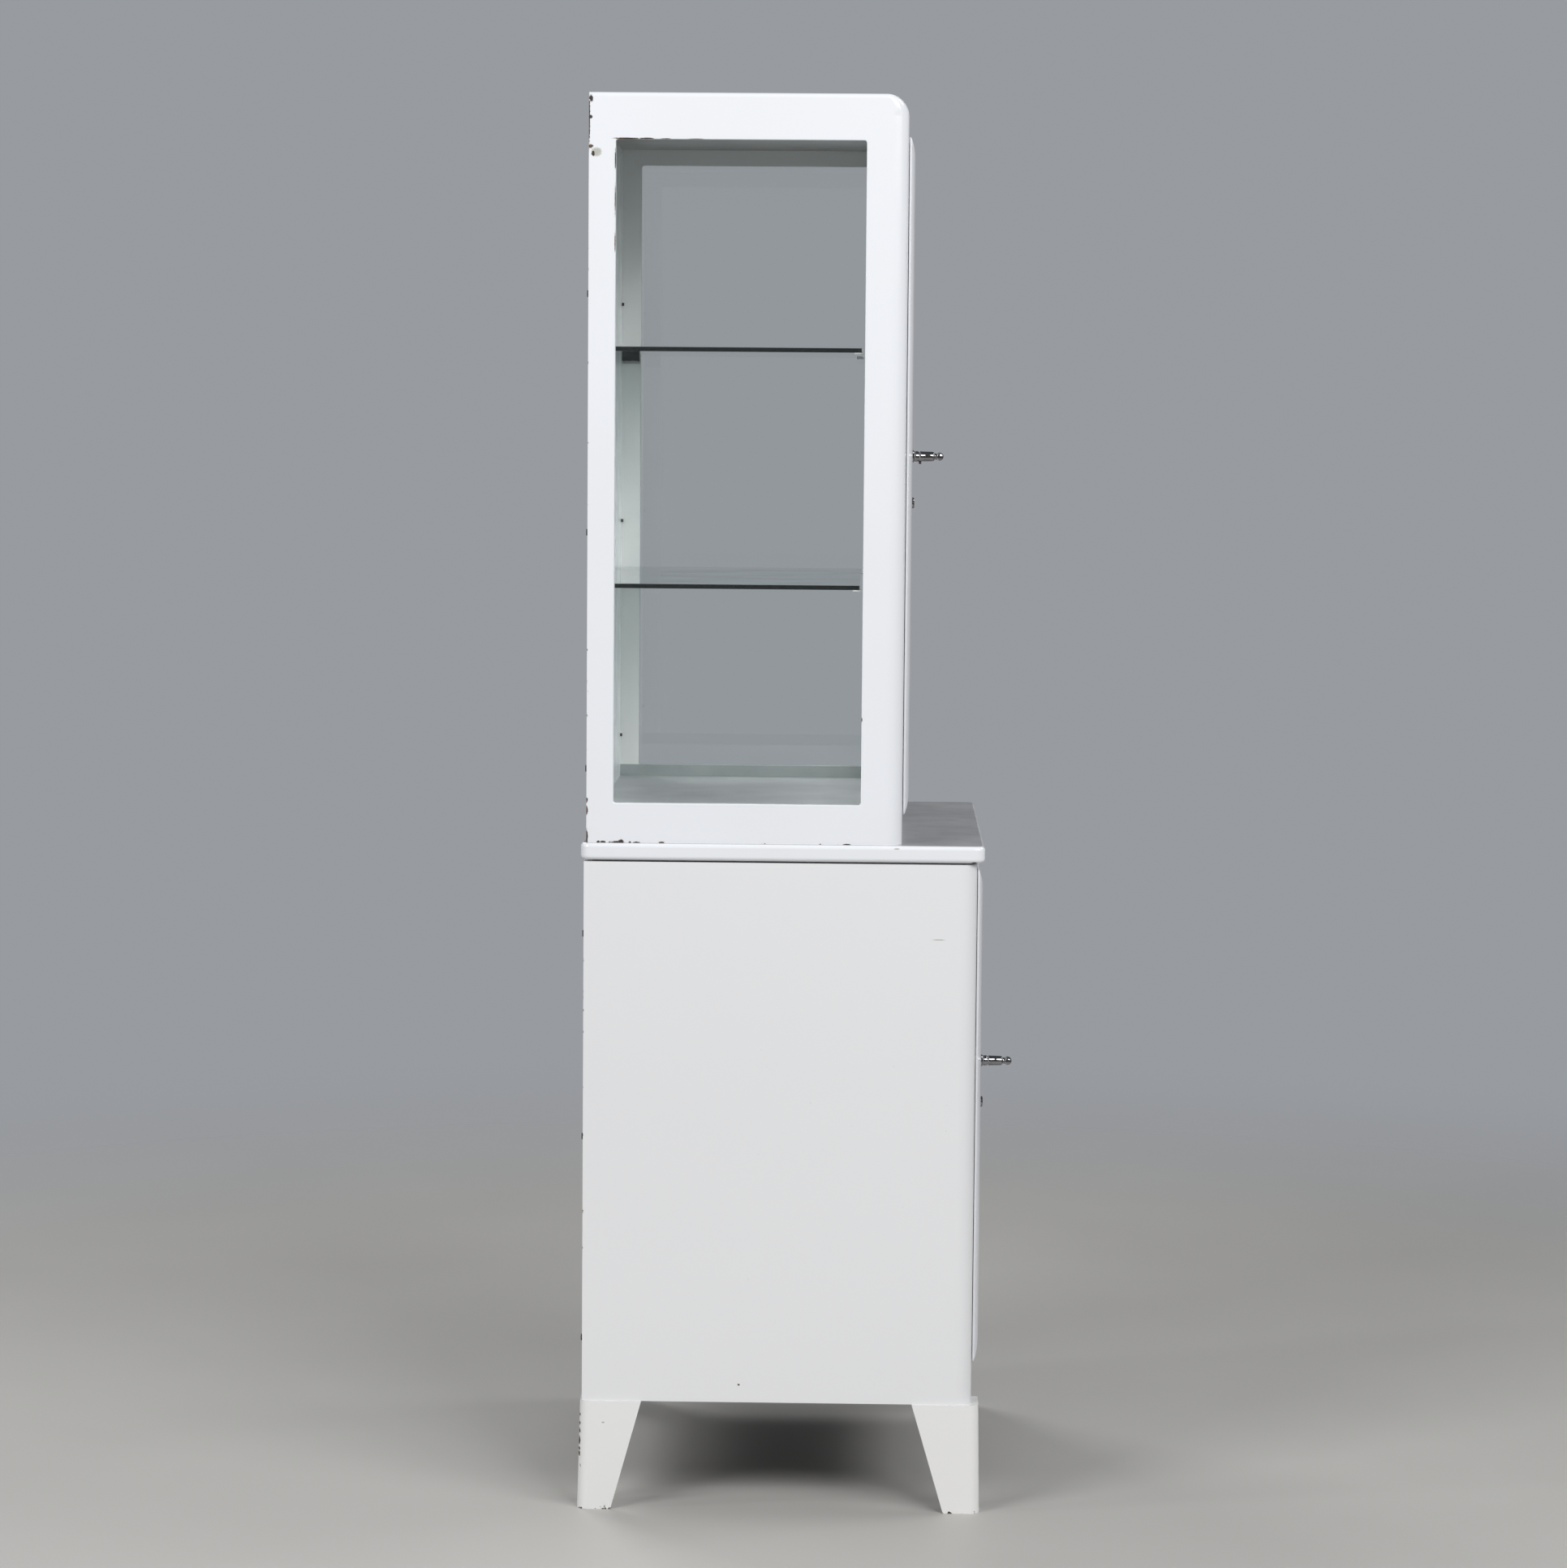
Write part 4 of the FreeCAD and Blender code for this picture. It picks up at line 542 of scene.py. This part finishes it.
OWN_FINISHES = {
    # The shelf brackets get a dull grey-green, painted shade, not age
    "shelf_brackets": inside_enamel("bracket_shade_enamel", BRACKET_SHADE_GREY, BRACKET_GLOSS),
    "back_screws": dark_steel,
    "vitrine_roof": roof_enamel,
    # The ceiling gets dark grey, painted shade
    "vitrine_ceiling": inside_enamel("ceiling_shade_enamel", CEILING_SHADE_GREY, CEILING_GLOSS),
    # The case's floor pan gets dark grey, painted shade
    "vitrine_floor": inside_enamel("pan_shade_enamel", PAN_SHADE_GREY, PAN_GLOSS),
    "left_glass_strips": strip_enamel,
    "right_glass_strips": strip_enamel,
    "base_floor": inside_enamel("floor_enamel", INNER_SHADED_WHITE, PAN_GLOSS, underside_shade),
}
for name, node in nodes.items():
    slot = node.material_slots[0]
    own = slot.material.name.split(".")[0]
    if name in OWN_FINISHES:
        slot.material = OWN_FINISHES[name]
    elif own != "enamel":
        slot.material = SLOT_FINISHES[own]
    elif "foot" in name:
        slot.material = foot_enamel
    elif "door" in name:
        slot.material = door_enamel
    elif name == "worktop":
        slot.material = top_enamel
    elif name.startswith("vitrine"):
        slot.material = case_enamel
    else:
        slot.material = base_enamel


# Forms through rings: each ring is a closed line of edges, and faces join it to the next

CORNER_SEGMENTS = 5
ROUND_SEGMENTS = 28


def rounded_ring(work, half, low, high, across, radius):
    """A rounded rectangle upright across the doors' direction."""
    before = set(work.edges)
    middle, rise = (low + high) / 2, (high - low) / 2
    flat = Matrix(((half, 0, 0, 0), (0, 0, 0, across), (0, rise, 0, middle), (0, 0, 0, 1)))
    corners = bmesh.ops.create_grid(work, x_segments=1, y_segments=1, size=1, matrix=flat)["verts"]
    bmesh.ops.bevel(
        work,
        geom=corners,
        affect="VERTICES",
        offset=radius,
        segments=CORNER_SEGMENTS,
        profile=0.5,
        material=-1,
    )
    edges = [edge for edge in work.edges if edge not in before]
    faces = list({face for edge in edges for face in edge.link_faces})
    bmesh.ops.delete(work, geom=faces, context="FACES_ONLY")
    return edges


def circle(work, matrix, radius, segments):
    made = bmesh.ops.create_circle(
        work, cap_ends=False, segments=segments, radius=radius, matrix=matrix
    )
    return list({edge for vertex in made["verts"] for edge in vertex.link_edges})


def round_ring(work, centre, turn, radius):
    """A circle about a line that points out of the doors, or turned from there to the hinges."""
    facing = Matrix.Rotation(turn, 4, "Z") @ Matrix.Rotation(math.pi / 2, 4, "X")
    return circle(work, Matrix.Translation(centre) @ facing, radius, ROUND_SEGMENTS)


def joined(work, rings, capped=True):
    """Faces from each ring to the next, and over both ends unless they stay open for a wall."""
    for ring, following in zip(rings, rings[1:]):
        bmesh.ops.bridge_loops(work, edges=ring + following)
    if capped:
        bmesh.ops.contextual_create(work, geom=rings[0])
        bmesh.ops.contextual_create(work, geom=rings[-1])


def piece(work, name, body, slot, finish, *replaced):
    """Turns the finished mesh into a smooth piece of a body."""
    bmesh.ops.recalc_face_normals(work, faces=work.faces)
    for face in work.faces:
        face.smooth = True
    mesh = bpy.data.meshes.new(name)
    work.to_mesh(mesh)
    work.free()
    made = bpy.data.objects.new(name, mesh)
    bpy.context.scene.collection.objects.link(made)
    made.data.materials.append(finish)
    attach(made, body)
    if replaced:
        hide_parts(*replaced)
    return made


# Doors: soft pressed cushions of sheet

DOOR_RISE = 7.0 * MM
DOOR_RIM = 1.8 * MM
DOOR_WALL = 1.0 * MM
# The rim's two steps up to where the crown begins, as shares of the rim's inset and height
RIM_STEPS = [(0, 0.6), (0.15, 0.9)]
CROWN_WIDTH = 30.0 * MM
CROWN_POWER = 2.2
CROWN_SHARES = (0.04, 0.09, 0.15, 0.22, 0.30, 0.40, 0.52, 0.66, 0.82, 1.0, 1.06)
DOOR_CORNER = 6.0 * MM
CORNER_TIGHTENING = 0.5
DOOR_BORDER = 58.0 * MM
LIGHT_CORNER = 3.0 * MM
LIGHT_BEAD = 1.6 * MM
# The bead round the window, as shares of its size out from the opening and in from the face
BEAD_STEPS = [(0.45, 0.12), (0.12, 0.45), (0, 1)]
# How far apart two rings of the window stand that would else be level
RING_STEP = 0.05 * MM


def crown_height(inset):
    """How high the face is above the door's back, at an inset from its edge."""
    share = min(inset / CROWN_WIDTH, 1)
    return DOOR_RIM + (DOOR_RISE - DOOR_RIM) * (1 - (1 - share) ** CROWN_POWER)


def door_steps():
    """The insets of the door's rings and their heights above its back, from the rim to the flat face."""
    steps = [(0, 0)] + [(DOOR_RIM * inset, DOOR_RIM * height) for inset, height in RIM_STEPS]
    return steps + [(CROWN_WIDTH * share, crown_height(CROWN_WIDTH * share)) for share in CROWN_SHARES]


def door_ring(work, low, high, inset, across):
    radius = max(DOOR_CORNER - inset * CORNER_TIGHTENING, LIGHT_CORNER)
    return rounded_ring(work, high.x - inset, low.z + inset, high.z - inset, across, radius)


def outer_rings(work, low, high, back):
    return [door_ring(work, low, high, inset, back - height) for inset, height in door_steps()]


def inner_rings(work, low, high, back):
    return [
        door_ring(work, low, high, inset + DOOR_WALL, back - max(height - DOOR_WALL, 0))
        for inset, height in door_steps()[1:]
    ]


def lower_skin():
    low, high = lower_box
    back = low.y + DOOR_RISE
    work = bmesh.new()
    outer = outer_rings(work, low, high, back)
    joined(work, outer[::-1] + inner_rings(work, low, high, back))
    piece(work, "lower_door_pressing", "lower_door", "enamel", door_enamel, "lower_door_skin")


def upper_frame():
    """The pressed sheet round the window, one skin deep until its wall is added."""
    low, high = upper_box
    face = low.y
    glass_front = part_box("upper_door_glass")[0].y
    light = [(LIGHT_BEAD, face + RING_STEP)]
    light += [(LIGHT_BEAD * out, face + LIGHT_BEAD * deep) for out, deep in BEAD_STEPS]
    light += [(0, glass_front - DOOR_WALL), (0, glass_front)]
    work = bmesh.new()
    rings = outer_rings(work, low, high, face + DOOR_RISE)
    for out, across in light:
        inset = DOOR_BORDER - out
        corner = LIGHT_CORNER + out
        rings.append(rounded_ring(work, high.x - inset, low.z + inset, high.z - inset, across, corner))
    joined(work, rings, capped=False)
    made = piece(work, "upper_door_pressing", "upper_door", "enamel", door_enamel, "upper_door_frame")
    wall = made.modifiers.new("wall", "SOLIDIFY")
    wall.thickness = DOOR_WALL
    wall.offset = -1
    wall.use_even_offset = True


lower_skin()
upper_frame()


# Rubber sleeves under the upper shelf, torn along their lower edge

SLEEVE_WIDTH = 11.9 * MM
SLEEVE_CUTS = 7
SLEEVE_SOFTENING = 0.3
TEAR_SIZE = 3.0 * MM
TEAR_SHARE = 0.62


def torn_sleeves(node, body):
    low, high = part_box(node)
    work = bmesh.new()
    for side in (-1, 1):
        middle = Vector((side * (high.x - SLEEVE_WIDTH / 2), (low.y + high.y) / 2, (low.z + high.z) / 2))
        size = Matrix.Diagonal((SLEEVE_WIDTH, high.y - low.y, high.z - low.z, 1))
        bmesh.ops.create_cube(work, size=1, matrix=Matrix.Translation(middle) @ size)
    bmesh.ops.subdivide_edges(work, edges=work.edges, cuts=SLEEVE_CUTS, use_grid_fill=True)
    for vertex in work.verts:
        down = (high.z - vertex.co.z) / (high.z - low.z)
        torn = 0.5 + 0.5 * noise.noise(Vector((0, vertex.co.y, vertex.co.x)) / TEAR_SIZE)
        vertex.co.z += down * torn * TEAR_SHARE * (high.z - low.z)
    bmesh.ops.smooth_vert(
        work, verts=work.verts, factor=SLEEVE_SOFTENING, use_axis_x=True, use_axis_y=True, use_axis_z=True
    )
    piece(work, "torn_sleeves", body, "rubber", black_rubber, node)


torn_sleeves("upper_shelf_sleeves", "carcass")


# Handles: a turned neck with a collar, a groove, and a small olive grip across its end

SPINDLE_RADIUS = 3.9 * MM
# The bevel of the spindle's inner end, as shares of its radius: how thin it ends, and how long it is
SPINDLE_END, SPINDLE_BEVEL = 0.85, 0.2
# Distances out from the door's face in millimetres, with the neck's radius there
NECK_STEPS = [
    (1.65, 5.7),
    (2.0, 6.0),
    (6.4, 5.9),
    (7.0, 5.1),
    (7.8, 5.0),
    (8.4, 5.8),
    (9.4, 6.0),
    (10.4, 5.7),
    (16.5, 5.6),
    (22.4, 5.4),
    (23.6, 5.2),
    (24.4, 4.7),
    (24.8, 3.7),
    (25.6, 3.4),
    (26.6, 3.5),
    (29.0, 3.4),
]
# Shares of the grip's half length, with its radius there in middle radii
GRIP_STEPS = [
    (1.0, 0.14),
    (0.985, 0.30),
    (0.963, 0.46),
    (0.94, 0.62),
    (0.915, 0.73),
    (0.87, 0.80),
    (0.75, 0.87),
    (0.50, 0.94),
    (0.25, 0.985),
]
GRIP_MIDDLE_RADIUS = 4.6 * MM
SET_SCREW_RADIUS = 1.5 * MM
SET_SCREW_OUT = 8.6 * MM
SET_SCREW_DROP = 8.6 * MM
SET_SCREW_SEGMENTS = 16
# Shares of the screw's drop below the neck's axis, with its radius there in shares
SET_SCREW_STEPS = [(0.5, 1), (0.93, 1), (1, 0.8), (0.97, 0.5)]


def grip(node, skin_box, body):
    low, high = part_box(node)
    axis_x = (low.x + high.x) / 2
    axis_z = (low.z + high.z) / 2
    half = (high.x - low.x) / 2
    grip_y = low.y + GRIP_MIDDLE_RADIUS
    face = skin_box[0].y
    steps = [
        (high.y, SPINDLE_RADIUS * SPINDLE_END),
        (high.y - SPINDLE_RADIUS * SPINDLE_BEVEL, SPINDLE_RADIUS),
        (face - NECK_STEPS[0][0] * MM, SPINDLE_RADIUS),
    ]
    steps += [(face - out * MM, radius * MM) for out, radius in NECK_STEPS]
    work = bmesh.new()
    joined(work, [round_ring(work, (axis_x, across, axis_z), 0, radius) for across, radius in steps])
    profile = [(-share, radius) for share, radius in GRIP_STEPS]
    profile += [(0, 1)] + GRIP_STEPS[::-1]
    rings = [
        round_ring(work, (axis_x + half * share, grip_y, axis_z), math.pi / 2, GRIP_MIDDLE_RADIUS * radius)
        for share, radius in profile
    ]
    joined(work, rings)
    piece(work, node + "_bar", body, "chrome", old_chrome, node)


def set_screw(node, skin_box, body):
    """The small screw that clamps the neck to its spindle, from below."""
    low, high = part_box(node)
    centre = Vector(((low.x + high.x) / 2, skin_box[0].y - SET_SCREW_OUT, (low.z + high.z) / 2))
    work = bmesh.new()
    rings = []
    for drop, share in SET_SCREW_STEPS:
        matrix = Matrix.Translation(centre - Vector((0, 0, SET_SCREW_DROP * drop)))
        rings.append(circle(work, matrix, SET_SCREW_RADIUS * share, SET_SCREW_SEGMENTS))
    joined(work, rings)
    piece(work, node + "_set_screw", body, "zinc_steel", dark_steel)


grip("upper_handle", upper_box, "upper_latch_set")
grip("lower_handle", lower_box, "lower_latch_set")
set_screw("upper_handle", upper_box, "upper_latch_set")


# Camera at the photograph's place

PHOTO_WIDTH = 1931
SENSOR_WIDTH = 36.0
FOCAL_PIXELS = 5200.97
EYE = Vector((-5.04954848, -0.08621585, 1.27003581))
YAW, PITCH, ROLL = 0.02145, -0.08928, -0.00802
CLIP_START, CLIP_END = 0.1, 60


def camera():
    ahead = Vector((math.cos(YAW) * math.cos(PITCH), math.sin(YAW) * math.cos(PITCH), math.sin(PITCH)))
    level = Vector((math.sin(YAW), -math.cos(YAW), 0))
    upright = level.cross(ahead)
    right = level * math.cos(ROLL) - upright * math.sin(ROLL)
    up = upright * math.cos(ROLL) + level * math.sin(ROLL)
    data = bpy.data.cameras.new("photo_camera")
    data.sensor_fit = "HORIZONTAL"
    data.sensor_width = SENSOR_WIDTH
    data.lens = FOCAL_PIXELS * SENSOR_WIDTH / PHOTO_WIDTH
    data.clip_start, data.clip_end = CLIP_START, CLIP_END
    made = bpy.data.objects.new("photo_camera", data)
    turn = Matrix((right, up, -ahead)).transposed()
    made.matrix_world = Matrix.Translation(EYE) @ turn.to_4x4()
    bpy.context.scene.collection.objects.link(made)
    bpy.context.scene.camera = made


# Light: a grey surround, and soft light from both sides of the camera and a little from all round

SURROUND_COLOUR = (0.33, 0.345, 0.37, 1)
# The surround's brightness, as seen and as light and reflections on the cabinet
SURROUND_SEEN = 0.95
SURROUND_LIGHT = 0.36
LIGHT_AIM = Vector((0, 0, 1.1))
# Each light's name, place, width, height and watts
LIGHTS = [
    ("left_softbox", (-3.0, 2.7, 2.9), 1.7, 1.8, 90),
    ("right_softbox", (-3.0, -2.8, 2.9), 1.7, 1.8, 75),
    ("camera_softbox", (-3.4, -1.25, 3.0), 1.0, 1.4, 50),
    ("left_strip", (-1.2, 3.8, 2.5), 0.30, 1.5, 18),
    ("right_strip", (-2.0, -3.5, 2.5), 0.30, 1.5, 11),
    ("front_softbox", (0.9, -3.6, 3.8), 1.6, 1.6, 33),
    ("rear_softbox", (3.0, 2.2, 3.8), 1.6, 1.6, 60),
]


def surround():
    world = bpy.data.worlds.new("studio_surround")
    world.use_nodes = True
    tree = world.node_tree
    ground = tree.nodes["Background"]
    ground.inputs["Color"].default_value = SURROUND_COLOUR
    path = tree.nodes.new("ShaderNodeLightPath")
    dim = tree.nodes.new("ShaderNodeMapRange")
    dim.inputs["To Min"].default_value = SURROUND_SEEN
    dim.inputs["To Max"].default_value = SURROUND_LIGHT
    tree.links.new(path.outputs["Is Reflection Ray"], dim.inputs["Value"])
    tree.links.new(dim.outputs["Result"], ground.inputs["Strength"])
    bpy.context.scene.world = world


def softbox(name, place, width, height, watts):
    data = bpy.data.lights.new(name, "AREA")
    data.shape = "RECTANGLE"
    data.size, data.size_y = width, height
    data.energy = watts
    made = bpy.data.objects.new(name, data)
    made.location = place
    made.rotation_euler = (LIGHT_AIM - Vector(place)).to_track_quat("-Z", "Y").to_euler()
    bpy.context.scene.collection.objects.link(made)


# Floor

FLOOR_RADIUS = 4.0
FLOOR_CORNERS = 128
FLOOR_DARK = (0.46, 0.45, 0.43)
FLOOR_PALE = (0.50, 0.49, 0.47)
FLOOR_CLOUD_SIZE = 0.4
# Where the floor begins and ends to fade, from the middle
FADE_START, FADE_END = 1.3, 3.2


def floor():
    """A pale floor that fades into the surround."""
    bpy.ops.mesh.primitive_circle_add(
        vertices=FLOOR_CORNERS, radius=FLOOR_RADIUS, fill_type="NGON", location=(0, 0, 0)
    )
    made = bpy.context.object
    made.name = "studio_floor"
    finish = Finish("pale_floor")
    away = (finish.x * finish.x + finish.y * finish.y) ** 0.5
    cloud = finish.noise(FLOOR_CLOUD_SIZE, 3)
    inputs = {
        "Base Color": finish.mixed(cloud, FLOOR_DARK, FLOOR_PALE),
        "Roughness": cloud * 0.1 + 0.55,
        "Alpha": 1 - away.step(FADE_START, FADE_END),
    }
    made.data.materials.append(finish.done(finish.principled(inputs)))


camera()
surround()
for light in LIGHTS:
    softbox(*light)
floor()
bpy.context.scene.view_settings.view_transform = "Standard"
